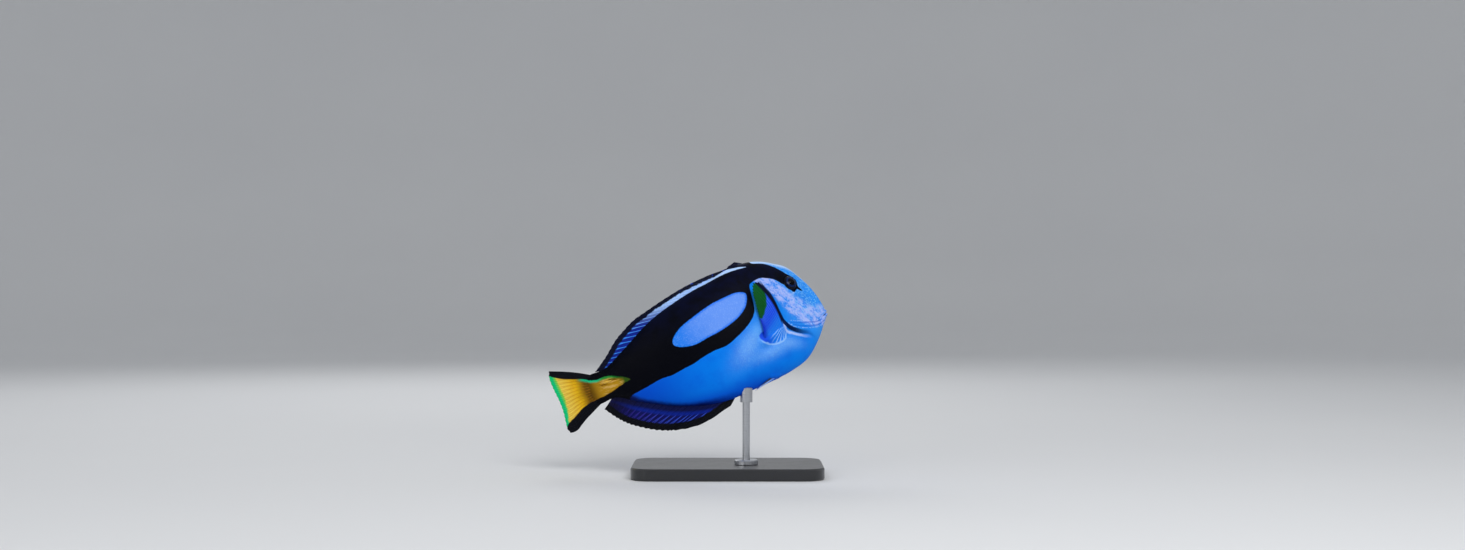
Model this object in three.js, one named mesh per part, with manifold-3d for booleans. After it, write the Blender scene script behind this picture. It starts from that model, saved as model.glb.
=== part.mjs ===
// Regal blue tang: the whole fish at life size, still, held up by a plain display stand.
// Millimetres, +Z up, nose towards +X. The origin is the middle of the stand's underside.
import * as THREE from 'three';
import { mergeVertices } from 'three/addons/utils/BufferGeometryUtils.js';
import Module from 'manifold-3d';

const wasm = await Module();
wasm.setup();

// Driving sizes. Each place on the fish is straight before it is bent: along runs from the
// snout to the tail root in shares of the standard length, up and side are in the same shares,
// side is positive on the fish's right.
const standardLength = 176;
const gap = 0.3;
const rayThickness = 0.9;
const webThickness = 0.5;
const tipThickness = 0.5;

// Pose in degrees: the nose turns away and up, the back leans away, head and tail bend away.
const pose = { yaw: -14, pitch: 20.5, roll: -11, headBend: -16.5, tailBend: 34, finBend: 6.5 };
const bodyCentre = new THREE.Vector3(-9, -4, 92);

const stations = [
  { name: 'muzzle', along: 0.020, top: -0.026, bottom: -0.076, half: 0.017, level: -0.052 },
  { name: 'chin', along: 0.031, top: 0.018, bottom: -0.085, half: 0.0295, level: -0.034 },
  { name: 'cheek', along: 0.085, top: 0.138, bottom: -0.139, half: 0.045, level: -0.006 },
  { name: 'brow', along: 0.160, top: 0.198, bottom: -0.195, half: 0.057, level: 0.010 },
  { name: 'nape', along: 0.250, top: 0.2305, bottom: -0.221, half: 0.068, level: 0.014 },
  { name: 'shoulder', along: 0.340, top: 0.232, bottom: -0.231, half: 0.076, level: 0.014 },
  { name: 'deepest', along: 0.440, top: 0.214, bottom: -0.2365, half: 0.077, level: 0.006 },
  { name: 'waist', along: 0.560, top: 0.192, bottom: -0.2365, half: 0.067, level: -0.006 },
  { name: 'flank', along: 0.700, top: 0.156, bottom: -0.198, half: 0.050, level: -0.012 },
  { name: 'finEnd', along: 0.850, top: 0.089, bottom: -0.119, half: 0.031, level: -0.010 },
  { name: 'stalk', along: 0.945, top: 0.055, bottom: -0.062, half: 0.020, level: -0.003 },
  { name: 'root', along: 1.000, top: 0.058, bottom: -0.062, half: 0.009, level: -0.002 },
];
const stalkStart = 0.905;
const eye = { along: 0.143, up: 0.096, radius: 4.0, depth: 2.4, dome: 1.7 };
const mouth = {
  up: -0.058, front: 0.0185, corner: 0.036, half: 0.0262, lip: 1.35, parting: 0.45,
  slitMiddle: 0.034, slitHalfAlong: 0.019, slitHalfSide: 0.029,
};
const nostrils = [[0.104, 0.100, 0.8], [0.112, 0.106, 0.55]];
const snoutGroove = [[0.119, 0.068], [0.103, 0.050], [0.083, 0.019]];
const tailBlade = { root: 0.957, tip: 0.917, up: 0.006, thick: 0.8 };

// Fins: counts of rays as the species has them, roots and tips from the photo's outline.
const dorsalFin = { rays: 28, rows: 3, from: 0.262, to: 0.940, lean: 0.045, sweep: 0.065 };
const analFin = { rays: 21, rows: 3, from: 0.505, to: 0.950 };
const tailFin = { rays: 16, rows: 5, rootThickness: 2.4, notch: 0.015 };
const pectoralFin = {
  rays: 16, rows: 4, rootFront: [0.250, -0.058], rootRear: [0.344, -0.084],
  cup: 0.012, bow: 0.0115, thick: 1.7,
};
const pelvicFin = {
  rays: 4, rows: 4, rootFront: [0.322, -0.223], rootRear: [0.352, -0.216],
  tipFront: [0.428, -0.242, 0.012], tipRear: [0.392, -0.227, 0.022], thick: 0.95,
};
const plate = { length: 128, width: 80, height: 8, corner: 14 };
const rod = { along: 0.465, radius: 2.5, footRadius: 8, footHeight: 3, cupRadius: 4.2, cupHeight: 6 };

const colour = {
  azure: 0x1a6fe0, navy: 0x0b1030, pale: 0x8fa8f0, yellow: 0xe8b923, green: 0x1f6b35,
  black: 0x06060c, satinBlack: 0x17181b, steel: 0xb9bcc2,
};

const mixed = (a, b, t) => a + (b - a) * t;
const gapShare = gap / standardLength;

// A smooth line through points, each slope averaged from both neighbours.
function smoothLine(at, value) {
  const last = at.length - 1;
  const rise = at.slice(1).map((next, i) => (value[i + 1] - value[i]) / (next - at[i]));
  const slope = at.map((_, i) => {
    if (i === 0) return rise[0];
    if (i === last) return rise[last - 1];
    const before = at[i] - at[i - 1];
    const after = at[i + 1] - at[i];
    return (rise[i - 1] * after + rise[i] * before) / (before + after);
  });
  return (place) => {
    const q = THREE.MathUtils.clamp(place, at[0], at[last]);
    let i = 0;
    while (i < last - 1 && q > at[i + 1]) i += 1;
    const width = at[i + 1] - at[i];
    const t = (q - at[i]) / width;
    const rest = 1 - t;
    return value[i] * (1 + 2 * t) * rest * rest + slope[i] * width * t * rest * rest
      + value[i + 1] * t * t * (3 - 2 * t) + slope[i + 1] * width * t * t * (t - 1);
  };
}

const lineOf = (points) => smoothLine(points.map((p) => p[0]), points.map((p) => p[1]));
const dorsalEdge = lineOf([
  [0.307, 0.249], [0.335, 0.243], [0.36, 0.240], [0.44, 0.2345], [0.53, 0.227], [0.64, 0.208],
  [0.71, 0.193], [0.763, 0.181], [0.812, 0.160], [0.852, 0.1405], [0.875, 0.1255], [0.897, 0.109],
  [0.920, 0.0935], [0.942, 0.081], [0.958, 0.072], [0.973, 0.0645], [0.985, 0.0595],
]);
const analEdge = lineOf([
  [0.520, -0.257], [0.567, -0.266], [0.626, -0.279], [0.676, -0.283], [0.734, -0.276], [0.789, -0.260],
  [0.842, -0.236], [0.894, -0.203], [0.935, -0.172], [0.969, -0.136], [1.006, -0.086],
]);
const analLean = lineOf([
  [0, 0.035], [0.05, 0.084], [0.10, 0.128], [0.15, 0.157], [0.20, 0.174], [0.30, 0.159],
  [0.40, 0.155], [0.50, 0.148], [0.60, 0.138], [0.75, 0.110], [0.85, 0.087], [1, 0.056],
]);
const tailEdge = lineOf([
  [0, 1.178], [0.08, 1.187], [0.25, 1.189], [0.50, 1.184], [0.65, 1.185], [0.85, 1.194],
  [0.93, 1.197], [1, 1.190],
]);
const tailTop = lineOf([[0, 0.054], [0.20, 0.075], [0.43, 0.096], [0.67, 0.115], [1, 0.1385]]);
const tailBottom = lineOf([
  [0, -0.058], [0.33, -0.079], [0.50, -0.090], [0.67, -0.104], [0.80, -0.1155], [0.92, -0.118], [1, -0.115],
]);
const pectoralTip = {
  along: lineOf([[0, 0.301], [0.12, 0.318], [0.3, 0.330], [0.55, 0.333], [1, 0.335]]),
  up: lineOf([[0, 0.134], [0.12, 0.137], [0.3, 0.110], [0.55, 0.070], [1, 0]]),
  side: lineOf([[0, 0.1136], [0.3, 0.105], [0.55, 0.0966], [1, 0.0824]]),
};

const profile = Object.fromEntries(['top', 'bottom', 'half', 'level'].map((key) => [
  key, smoothLine(stations.map((station) => station.along), stations.map((station) => station[key])),
]));

// The backbone in the fish's own plane: forward and side, with the heading at each place.
const bone = { start: -0.05, end: 1.35, steps: 280, forward: [], side: [], turn: [] };

function headingAt(along) {
  const head = pose.headBend * THREE.MathUtils.clamp((0.5 - along) / 0.25, 0, 1);
  const tail = pose.tailBend * THREE.MathUtils.clamp((along - 0.5) / 0.45, 0, 1);
  const fin = pose.finBend * THREE.MathUtils.clamp((along - 0.93) / 0.08, 0, 1);
  return THREE.MathUtils.degToRad(head + tail + fin);
}

function layBone() {
  const step = (bone.end - bone.start) / bone.steps;
  let forward = 0;
  let side = 0;
  for (let i = 0; i <= bone.steps; i += 1) {
    const turn = headingAt(bone.start + i * step);
    if (i > 0) {
      const before = bone.turn[i - 1];
      forward -= (Math.cos(turn) + Math.cos(before)) / 2 * step;
      side -= (Math.sin(turn) + Math.sin(before)) / 2 * step;
    }
    bone.forward.push(forward);
    bone.side.push(side);
    bone.turn.push(turn);
  }
  const middle = boneAt(0.5);
  bone.forward = bone.forward.map((value) => value - middle.forward);
  bone.side = bone.side.map((value) => value - middle.side);
}

function boneAt(along) {
  const x = (along - bone.start) / (bone.end - bone.start) * bone.steps;
  const i = THREE.MathUtils.clamp(Math.floor(x), 0, bone.steps - 1);
  const t = x - i;
  const mix = (line) => line[i] * (1 - t) + line[i + 1] * t;
  return { forward: mix(bone.forward), side: mix(bone.side), turn: mix(bone.turn) };
}

layBone();
const turned = new THREE.Matrix4().makeRotationZ(THREE.MathUtils.degToRad(-pose.yaw))
  .multiply(new THREE.Matrix4().makeRotationY(THREE.MathUtils.degToRad(-pose.pitch)))
  .multiply(new THREE.Matrix4().makeRotationX(THREE.MathUtils.degToRad(pose.roll)));

// From the straight fish to its place in the bent, banked one. The right side is -Y unturned.
function bend(along, up, side) {
  const at = boneAt(along);
  const forward = at.forward - side * Math.sin(at.turn);
  const right = at.side + side * Math.cos(at.turn);
  const local = new THREE.Vector3(forward, -right, up).multiplyScalar(standardLength);
  return local.applyMatrix4(turned).add(bodyCentre);
}

// Half width of the skin at a height, and the point at an angle round the section.
const sharpness = (along) => 1 + 0.25 * THREE.MathUtils.clamp((along - 0.1) / 0.3, 0, 1);

function skinHalf(along, up) {
  const level = profile.level(along);
  const reach = up > level ? profile.top(along) - level : level - profile.bottom(along);
  const share = THREE.MathUtils.clamp(Math.abs(up - level) / reach, 0, 1);
  return profile.half(along) * (1 - share * share) ** (sharpness(along) / 2);
}

// How far the gill cover stands out, and the hollow behind it, in shares of the length.
function relief(along, up, part) {
  const fade = THREE.MathUtils.smoothstep(up, -0.16, -0.09)
    * (1 - THREE.MathUtils.smoothstep(up, 0.12, 0.17));
  const distance = along - slitAt(up);
  if (part === 'head') return 0.0045 * fade * Math.exp(-((distance / 0.05) ** 2));
  if (part === 'trunk') return -0.004 * fade * Math.exp(-((distance / 0.06) ** 2));
  return 0;
}

function skinPoint(along, angle, grow, part) {
  const level = profile.level(along);
  const rise = Math.sin(angle);
  const out = Math.cos(angle);
  const reach = rise > 0 ? profile.top(along) - level : level - profile.bottom(along);
  const half = profile.half(along);
  const up = level + reach * rise;
  const side = half * Math.sign(out) * Math.abs(out) ** sharpness(along);
  const normal = new THREE.Vector2(rise * half, out * reach).normalize();
  const lift = grow / standardLength + relief(along, up, part) * Math.abs(normal.y);
  return [along, up + normal.x * lift, side + normal.y * lift];
}

// The gill slit from the nape over the cover's edge to the throat, as along and up.
const slitPoints = [
  [0.232, 0.330], [0.246, 0.240], [0.262, 0.180], [0.271, 0.139], [0.265, 0.100], [0.256, 0.060],
  [0.252, 0.010], [0.244, -0.035], [0.220, -0.070], [0.180, -0.096], [0.140, -0.114], [0.112, -0.150],
  [0.096, -0.210], [0.090, -0.330],
];
const slitCurve = new THREE.CatmullRomCurve3(slitPoints.map(([a, u]) => new THREE.Vector3(a, u, 0)));
const slitAt = lineOf(slitPoints.map(([a, u]) => [u, a]).reverse());

// Closed solids. Faces are turned outwards by the sign of the volume they enclose.
function closedGeometry(points, faces) {
  let volume = 0;
  for (const [a, b, c] of faces) volume += points[a].dot(points[b].clone().cross(points[c]));
  const ordered = volume < 0 ? faces.map(([a, b, c]) => [a, c, b]) : faces;
  const geometry = new THREE.BufferGeometry();
  const position = points.flatMap((point) => point.toArray());
  geometry.setAttribute('position', new THREE.Float32BufferAttribute(position, 3));
  geometry.setIndex(ordered.flat());
  return geometry;
}

function bareCopy(geometry) {
  const bare = geometry.clone();
  for (const name of ['normal', 'uv']) bare.deleteAttribute(name);
  return bare;
}

function solid(geometry) {
  const merged = mergeVertices(bareCopy(geometry), 1e-4);
  return new wasm.Manifold(new wasm.Mesh({
    numProp: 3,
    vertProperties: new Float32Array(merged.attributes.position.array),
    triVerts: new Uint32Array(merged.index.array),
  }));
}

const join = (first, ...others) => others.reduce((sum, other) => sum.add(other), first);
const cut = (first, ...others) => others.reduce((rest, other) => rest.subtract(other), first);

function largest(body) {
  return body.decompose().sort((a, b) => b.volume() - a.volume())[0];
}

function shape(body) {
  const result = largest(body).getMesh();
  const geometry = new THREE.BufferGeometry();
  geometry.setAttribute('position', new THREE.BufferAttribute(result.vertProperties, 3));
  geometry.setIndex(new THREE.BufferAttribute(result.triVerts, 1));
  return geometry;
}

// Rings of equal length joined into a tube, each end closed round a middle point.
function loft(rings, middles = [rings[0], rings.at(-1)].map(averageOf)) {
  const count = rings[0].length;
  const points = rings.flat();
  const faces = [];
  for (let i = 0; i < rings.length - 1; i += 1) {
    for (let j = 0; j < count; j += 1) {
      const a = i * count + j;
      const b = i * count + (j + 1) % count;
      faces.push([a, b, a + count], [b, b + count, a + count]);
    }
  }
  middles.forEach((middle, end) => {
    const first = end * (rings.length - 1) * count;
    points.push(middle);
    for (let j = 0; j < count; j += 1) {
      const pair = [first + j, first + (j + 1) % count];
      if (end === 0) pair.reverse();
      faces.push([...pair, points.length - 1]);
    }
  });
  return closedGeometry(points, faces);
}

function averageOf(ring) {
  return ring.reduce((sum, point) => sum.add(point), new THREE.Vector3()).divideScalar(ring.length);
}

// The snout's end, drawn in and a little forward of the first ring.
function bluntRing(ring) {
  const centre = averageOf(ring);
  const forward = bend(0, 0, 0).sub(bend(0.01, 0, 0)).normalize().multiplyScalar(0.5);
  return ring.map((point) => point.clone().lerp(centre, 0.4).add(forward));
}

function skinSolid(places, around, grow, part) {
  const rings = places.map((along) => Array.from({ length: around }, (_, j) => (
    bend(...skinPoint(along, 2 * Math.PI * j / around, grow, part))
  )));
  if (part === 'head') rings.unshift(bluntRing(rings[0]));
  return solid(loft(rings));
}

function spread(from, to, count) {
  return Array.from({ length: count }, (_, i) => from + (to - from) * i / (count - 1));
}

// A round tapering roll along a path in the world, with rounded ends.
function roll(path, radiusAt, sides = 6) {
  const curve = new THREE.CatmullRomCurve3(path);
  const steps = path.length + 4;
  const rings = spread(0, 1, steps).map((t) => {
    const centre = curve.getPoint(t);
    const tangent = curve.getTangent(t);
    const across = new THREE.Vector3(0, 0, 1).cross(tangent).normalize();
    const over = tangent.clone().cross(across);
    return Array.from({ length: sides }, (_, j) => {
      const angle = 2 * Math.PI * j / sides;
      const reach = across.clone().multiplyScalar(Math.cos(angle))
        .addScaledVector(over, Math.sin(angle));
      return centre.clone().addScaledVector(reach, radiusAt(t));
    });
  });
  return solid(loft(rings));
}

// The point and the outward direction on the skin at a place, on one side.
function seat(along, up, sign) {
  const on = (a, u) => bend(a, u, sign * skinHalf(a, u));
  const step = 0.004;
  const lengthwise = on(along + step, up).sub(on(along - step, up));
  const upwards = on(along, up + step).sub(on(along, up - step));
  const normal = upwards.cross(lengthwise).normalize().multiplyScalar(sign);
  if (normal.dot(bend(along, up, sign).sub(bend(along, up, 0))) < 0) normal.negate();
  return { point: on(along, up), normal };
}

function seated(geometry, place) {
  const up = new THREE.Vector3(0, 0, 1);
  const turn = new THREE.Quaternion().setFromUnitVectors(up, place.normal);
  return geometry.applyQuaternion(turn).translate(...place.point.toArray());
}

// A turned shape whose axis is +Z, from points of radius and height that start and end on it.
function turnedShape(outline, segments) {
  const points = outline.map(([radius, height]) => new THREE.Vector2(radius, height));
  return new THREE.LatheGeometry(points, segments).rotateX(Math.PI / 2);
}

// Fins: a grid of rays and webs, rays standing proud on both faces, triangles alike on both.
// ray(i, t) gives along, up and side of ray i at share t of its length.
function finSolid({ rays, rows, ray, rootThickness = rayThickness, notch = 0.03 }) {
  const columns = 2 * rays - 1;
  const middle = [];
  for (let c = 0; c < columns; c += 1) {
    const isRay = c % 2 === 0;
    middle.push(spread(0, 1, rows + 1).map((t) => {
      if (isRay) return bend(...ray(c / 2, t));
      const reach = t * (1 - notch * t);
      const before = ray((c - 1) / 2, reach);
      const after = ray((c + 1) / 2, reach);
      return bend(...before.map((value, k) => (value + after[k]) / 2));
    }));
  }
  const points = [];
  const halfAt = (c, r) => {
    const share = r / rows;
    const full = c % 2 === 0 ? rayThickness : webThickness;
    const rootward = Math.max(0, 1 - share / 0.3);
    const tipward = full + (Math.min(full, tipThickness) - full) * share;
    return (tipward + (rootThickness - rayThickness) * rootward) / 2;
  };
  for (const face of [1, -1]) {
    for (let c = 0; c < columns; c += 1) {
      for (let r = 0; r <= rows; r += 1) {
        const before = middle[Math.max(c - 1, 0)][r];
        const after = middle[Math.min(c + 1, columns - 1)][r];
        const low = middle[c][Math.max(r - 1, 0)];
        const high = middle[c][Math.min(r + 1, rows)];
        const normal = after.clone().sub(before).cross(high.clone().sub(low)).normalize();
        points.push(middle[c][r].clone().addScaledVector(normal, face * halfAt(c, r)));
      }
    }
  }
  const size = columns * (rows + 1);
  const faces = [];
  for (let c = 0; c < columns - 1; c += 1) {
    for (let r = 0; r < rows; r += 1) {
      const a = c * (rows + 1) + r;
      const b = a + rows + 1;
      faces.push([a, b, a + 1], [b, b + 1, a + 1]);
      faces.push([a + size, a + 1 + size, b + size], [b + size, a + 1 + size, b + 1 + size]);
    }
  }
  const rim = [];
  for (let c = 0; c < columns; c += 1) rim.push(c * (rows + 1));
  for (let r = 1; r <= rows; r += 1) rim.push((columns - 1) * (rows + 1) + r);
  for (let c = columns - 2; c >= 0; c -= 1) rim.push(c * (rows + 1) + rows);
  for (let r = rows - 1; r > 0; r -= 1) rim.push(r);
  rim.forEach((a, i) => {
    const b = rim[(i + 1) % rim.length];
    faces.push([a, a + size, b], [b, a + size, b + size]);
  });
  return closedGeometry(points, faces);
}

// The skin in three lengths: head, trunk and tail stalk.
const around = 36;
const headPlaces = [...spread(stations[0].along, stations[1].along, 4), ...spread(0.044, 0.345, 17)];
const trunkPlaces = [0.04, ...spread(0.09, stalkStart - gapShare / 2, 24)];
const stalkPlaces = spread(stalkStart + gapShare / 2, 1, 7);

// A block whose near face is the slit's surface, on one side of it. It takes away the skin
// behind the slit (sign 1) or in front of it (sign -1), half the gap from the slit's line.
function slitBlock(sign) {
  const far = sign > 0 ? 0.62 : -0.04;
  const inside = sign > 0 ? 0.43 : 0.05;
  const reach = slitPoints[0][1];
  const rings = spread(-0.14, 0.14, 5).map((side) => {
    const near = spread(0, 1, 27).map((t) => {
      const point = slitCurve.getPoint(t);
      const tangent = slitCurve.getTangent(t);
      const shift = -sign * gapShare / 2;
      return bend(point.x - tangent.y * shift, point.y + tangent.x * shift, side);
    });
    const back = spread(-reach, reach, 8).map((up) => bend(far, up, side));
    return [...near, ...back];
  });
  const middles = [-0.14, 0.14].map((side) => bend(inside, 0.02, side));
  return solid(loft(rings, middles));
}

// A ball squashed to its half sizes along, up and side, bent with the fish.
function bentBall(place, halves, detail = 8) {
  const ball = new THREE.SphereGeometry(1, detail, detail / 2);
  const corner = ball.attributes.position;
  for (let i = 0; i < corner.count; i += 1) {
    const point = bend(place[0] + corner.getX(i) * halves[0],
      place[1] + corner.getZ(i) * halves[1], place[2] + corner.getY(i) * halves[2]);
    corner.setXYZ(i, ...point.toArray());
  }
  return solid(outwards(ball));
}

function outwards(geometry) {
  const merged = mergeVertices(bareCopy(geometry), 1e-4);
  const points = [];
  const corner = merged.attributes.position;
  for (let i = 0; i < corner.count; i += 1) {
    points.push(new THREE.Vector3().fromBufferAttribute(corner, i));
  }
  const faces = [];
  for (let i = 0; i < merged.index.count; i += 3) {
    faces.push([0, 1, 2].map((k) => merged.index.getX(i + k)));
  }
  return closedGeometry(points, faces);
}

// Eyes: a domed lens in a socket, with a raised rim of skin round it.
function eyeLens(sign, grow) {
  const wide = eye.radius + grow;
  const dome = spread(0, 1, 5).map((t) => {
    const angle = t * Math.PI / 2;
    return [wide * Math.cos(angle), (eye.dome + grow) * Math.sin(angle)];
  });
  const outline = [[0, -eye.depth - grow], [wide * 0.9, -eye.depth - grow], ...dome.slice(0, -1),
    [0, eye.dome + grow]];
  return solid(seated(turnedShape(outline, 18), seat(eye.along, eye.up, sign)));
}

function eyeRim(sign) {
  const ring = new THREE.TorusGeometry(eye.radius + 0.9, 0.75, 6, 18).translate(0, 0, -0.45);
  return solid(seated(ring, seat(eye.along, eye.up, sign)));
}

// Lips: two rolls round the muzzle that meet at the corners, with a thin slit between them.
function lip(sign) {
  const lift = (mouth.lip + mouth.parting / 2) / standardLength;
  const path = spread(-1, 1, 11).map((t) => {
    const along = mixed(mouth.front, mouth.corner, Math.abs(t) ** 2.2);
    return bend(along, mouth.up + sign * lift * (1 - 0.5 * t * t), mouth.half * t);
  });
  return roll(path, (t) => mouth.lip * (1 - 0.6 * (2 * t - 1) ** 4));
}

function makeHead() {
  const sides = [1, -1];
  const skin = skinSolid(headPlaces, around, 0, 'head');
  const built = join(skin, lip(1), lip(-1), ...sides.map(eyeRim));
  const slitHalves = [mouth.slitHalfAlong, mouth.parting / 2 / standardLength, mouth.slitHalfSide];
  const slit = bentBall([mouth.slitMiddle, mouth.up, 0], slitHalves, 18);
  const pits = sides.flatMap((sign) => nostrils.map(([along, up, radius]) => {
    const share = radius / standardLength;
    return bentBall([along, up, sign * skinHalf(along, up)], [share, share, share]);
  }));
  const grooves = sides.map((sign) => {
    const path = snoutGroove.map(([along, up]) => seat(along, up, sign).point);
    return roll(path, (t) => 0.2 + 0.5 * Math.sin(Math.PI * t));
  });
  const sockets = sides.map((sign) => eyeLens(sign, gap));
  return cut(built, slitBlock(1), slit, ...pits, ...grooves, ...sockets);
}

function makeTrunk() {
  return cut(skinSolid(trunkPlaces, around, 0, 'trunk'), slitBlock(-1));
}

// The tail spines: one narrow blade on each side, folded forward in a groove.
function tailSpine(sign, grow) {
  const path = spread(tailBlade.root, tailBlade.tip, 6).map((along) => {
    const place = seat(along, tailBlade.up, sign);
    return place.point.addScaledVector(place.normal, 0.2);
  });
  return roll(path, (t) => tailBlade.thick * (1 - 0.75 * t ** 2) + grow);
}

function makeStalk() {
  const skin = skinSolid(stalkPlaces, 24, 0, 'stalk');
  return cut(skin, tailSpine(1, gap), tailSpine(-1, gap));
}

// Median fins stand on the skin's midline. Their outer edges are lines of up over along.
function dorsalRay(i, t) {
  const u = i / (dorsalFin.rays - 1);
  const root = mixed(dorsalFin.from, dorsalFin.to, u);
  const foot = profile.top(root) + gapShare;
  const tip = root + dorsalFin.lean + dorsalFin.sweep * Math.sin(Math.PI * u);
  const along = mixed(root, tip, t * (0.85 + 0.15 * t));
  return [along, mixed(foot, dorsalEdge(tip), t), 0];
}

function analRay(i, t) {
  const u = i / (analFin.rays - 1);
  const root = mixed(analFin.from, analFin.to, u);
  const foot = profile.bottom(root) - gapShare;
  const tip = root + analLean(u);
  const along = mixed(root, tip, t * (0.85 + 0.15 * t));
  return [along, mixed(foot, analEdge(tip), t), 0];
}

function tailRay(i, t) {
  const u = i / (tailFin.rays - 1);
  return [mixed(1 + gapShare, tailEdge(u), t), mixed(tailTop(t), tailBottom(t), u), 0];
}

// Paired fins: roots on the flank, the fan standing off it, cupped outwards in the middle.
function pectoralRay(sign) {
  return (i, t) => {
    const u = i / (pectoralFin.rays - 1);
    const along = mixed(pectoralFin.rootFront[0], pectoralFin.rootRear[0], u);
    const up = mixed(pectoralFin.rootFront[1], pectoralFin.rootRear[1], u);
    const side = skinHalf(along, up) - 0.004;
    const cup = pectoralFin.cup * Math.sin(Math.PI * t);
    const bow = 4 * pectoralFin.bow * (1 - u) * t * (1 - t);
    return [mixed(along, pectoralTip.along(u), t) - bow, mixed(up, pectoralTip.up(u), t),
      sign * (mixed(side, pectoralTip.side(u), t) + cup)];
  };
}

function pelvicRay(sign) {
  return (i, t) => {
    const u = i / (pelvicFin.rays - 1);
    const root = pelvicFin.rootFront.map((value, k) => mixed(value, pelvicFin.rootRear[k], u));
    const tip = pelvicFin.tipFront.map((value, k) => mixed(value, pelvicFin.tipRear[k], u));
    const side = mixed(skinHalf(...root) - 0.002, tip[2], t) + 0.004 * Math.sin(Math.PI * t);
    return [mixed(root[0], tip[0], t), mixed(root[1], tip[1], t), sign * side];
  };
}

// A fleshy root along a paired fin's base, fused with the fan and cut clear of the skin.
function pairedFin(fan, rootFront, rootRear, sign, thick, clear) {
  const path = spread(0, 1, 5).map((t) => {
    const place = seat(mixed(rootFront[0], rootRear[0], t), mixed(rootFront[1], rootRear[1], t), sign);
    return place.point.addScaledVector(place.normal, 0.5);
  });
  const root = roll(path, (t) => thick * (0.55 + 0.45 * Math.sin(Math.PI * t)));
  return cut(join(solid(fan), root), ...clear);
}

const part = new THREE.Group();

function addPiece(name, geometry, look) {
  const mesh = new THREE.Mesh(geometry, new THREE.MeshStandardMaterial(look));
  mesh.name = name;
  part.add(mesh);
}

const skinLook = { color: colour.azure, roughness: 0.45, metalness: 0 };
const finLook = { color: colour.navy, roughness: 0.5, metalness: 0 };
const clearOfTrunk = skinSolid(trunkPlaces, around, gap, 'trunk');
const clearOfHead = cut(skinSolid(headPlaces, around, gap, 'head'), slitBlock(1));

addPiece('head', shape(makeHead()), skinLook);
addPiece('trunk', shape(makeTrunk()), skinLook);
addPiece('tail_stalk', shape(makeStalk()), { ...skinLook, color: colour.yellow });
addPiece('dorsal_fin', finSolid({ ...dorsalFin, ray: dorsalRay }), finLook);
addPiece('anal_fin', finSolid({ ...analFin, ray: analRay }), finLook);
addPiece('caudal_fin', finSolid({ ...tailFin, ray: tailRay }), { ...finLook, color: colour.yellow });

for (const [side, sign] of [['right', 1], ['left', -1]]) {
  const pectoral = pairedFin(finSolid({ ...pectoralFin, ray: pectoralRay(sign) }),
    pectoralFin.rootFront, pectoralFin.rootRear, sign, pectoralFin.thick, [clearOfTrunk, clearOfHead]);
  addPiece(`pectoral_fin_${side}`, shape(pectoral), { ...finLook, color: colour.green });
  const pelvic = pairedFin(finSolid({ ...pelvicFin, ray: pelvicRay(sign) }),
    pelvicFin.rootFront, pelvicFin.rootRear, sign, pelvicFin.thick, [clearOfTrunk]);
  addPiece(`pelvic_fin_${side}`, shape(pelvic), { ...skinLook, color: colour.pale });
  addPiece(`eye_${side}`, shape(eyeLens(sign, 0)), { color: colour.black, roughness: 0.08, metalness: 0 });
  addPiece(`tail_spine_${side}`, shape(tailSpine(sign, 0)), { ...skinLook, color: colour.pale });
}

// The stand: a weighty plate, one upright rod to the belly, a foot ring and a cup at its top.
function ringAround(inner, outer, low, high) {
  const bevel = 0.6;
  const outline = [
    [inner, low], [outer, low], [outer, high - bevel], [outer - bevel, high], [inner, high], [inner, low],
  ];
  return turnedShape(outline, 28).translate(foot.x, foot.y, 0);
}

function makePlate() {
  const bevel = 1;
  const half = { x: plate.length / 2 - bevel, y: plate.width / 2 - bevel };
  const round = plate.corner - bevel;
  const outline = new THREE.Shape();
  outline.absarc(half.x - round, half.y - round, round, 0, Math.PI / 2);
  outline.absarc(round - half.x, half.y - round, round, Math.PI / 2, Math.PI);
  outline.absarc(round - half.x, round - half.y, round, Math.PI, 1.5 * Math.PI);
  outline.absarc(half.x - round, round - half.y, round, 1.5 * Math.PI, 2 * Math.PI);
  outline.closePath();
  return new THREE.ExtrudeGeometry(outline, {
    depth: plate.height - 2 * bevel,
    bevelThickness: bevel,
    bevelSize: bevel,
    bevelSegments: 1,
    curveSegments: 8,
  }).translate(0, 0, bevel);
}

const foot = bend(rod.along, profile.bottom(rod.along), 0);
const rodLow = plate.height + gap;
const rodHigh = foot.z + 4;
const steel = { color: colour.steel, roughness: 0.3, metalness: 1 };
addPiece('stand_base', makePlate(), { color: colour.satinBlack, roughness: 0.4, metalness: 0 });
const rodBar = new THREE.CylinderGeometry(rod.radius, rod.radius, rodHigh - rodLow, 24)
  .rotateX(Math.PI / 2).translate(foot.x, foot.y, (rodHigh + rodLow) / 2);
addPiece('stand_rod', shape(cut(solid(rodBar), clearOfTrunk)), steel);
const footRing = ringAround(rod.radius + gap, rod.footRadius, rodLow, rodLow + rod.footHeight);
addPiece('stand_foot_ring', footRing, steel);
const cup = solid(ringAround(rod.radius + gap, rod.cupRadius, foot.z - rod.cupHeight, foot.z + 4));
addPiece('stand_cup', shape(cut(cup, clearOfTrunk)), steel);

export default part;
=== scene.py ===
import math

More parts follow.
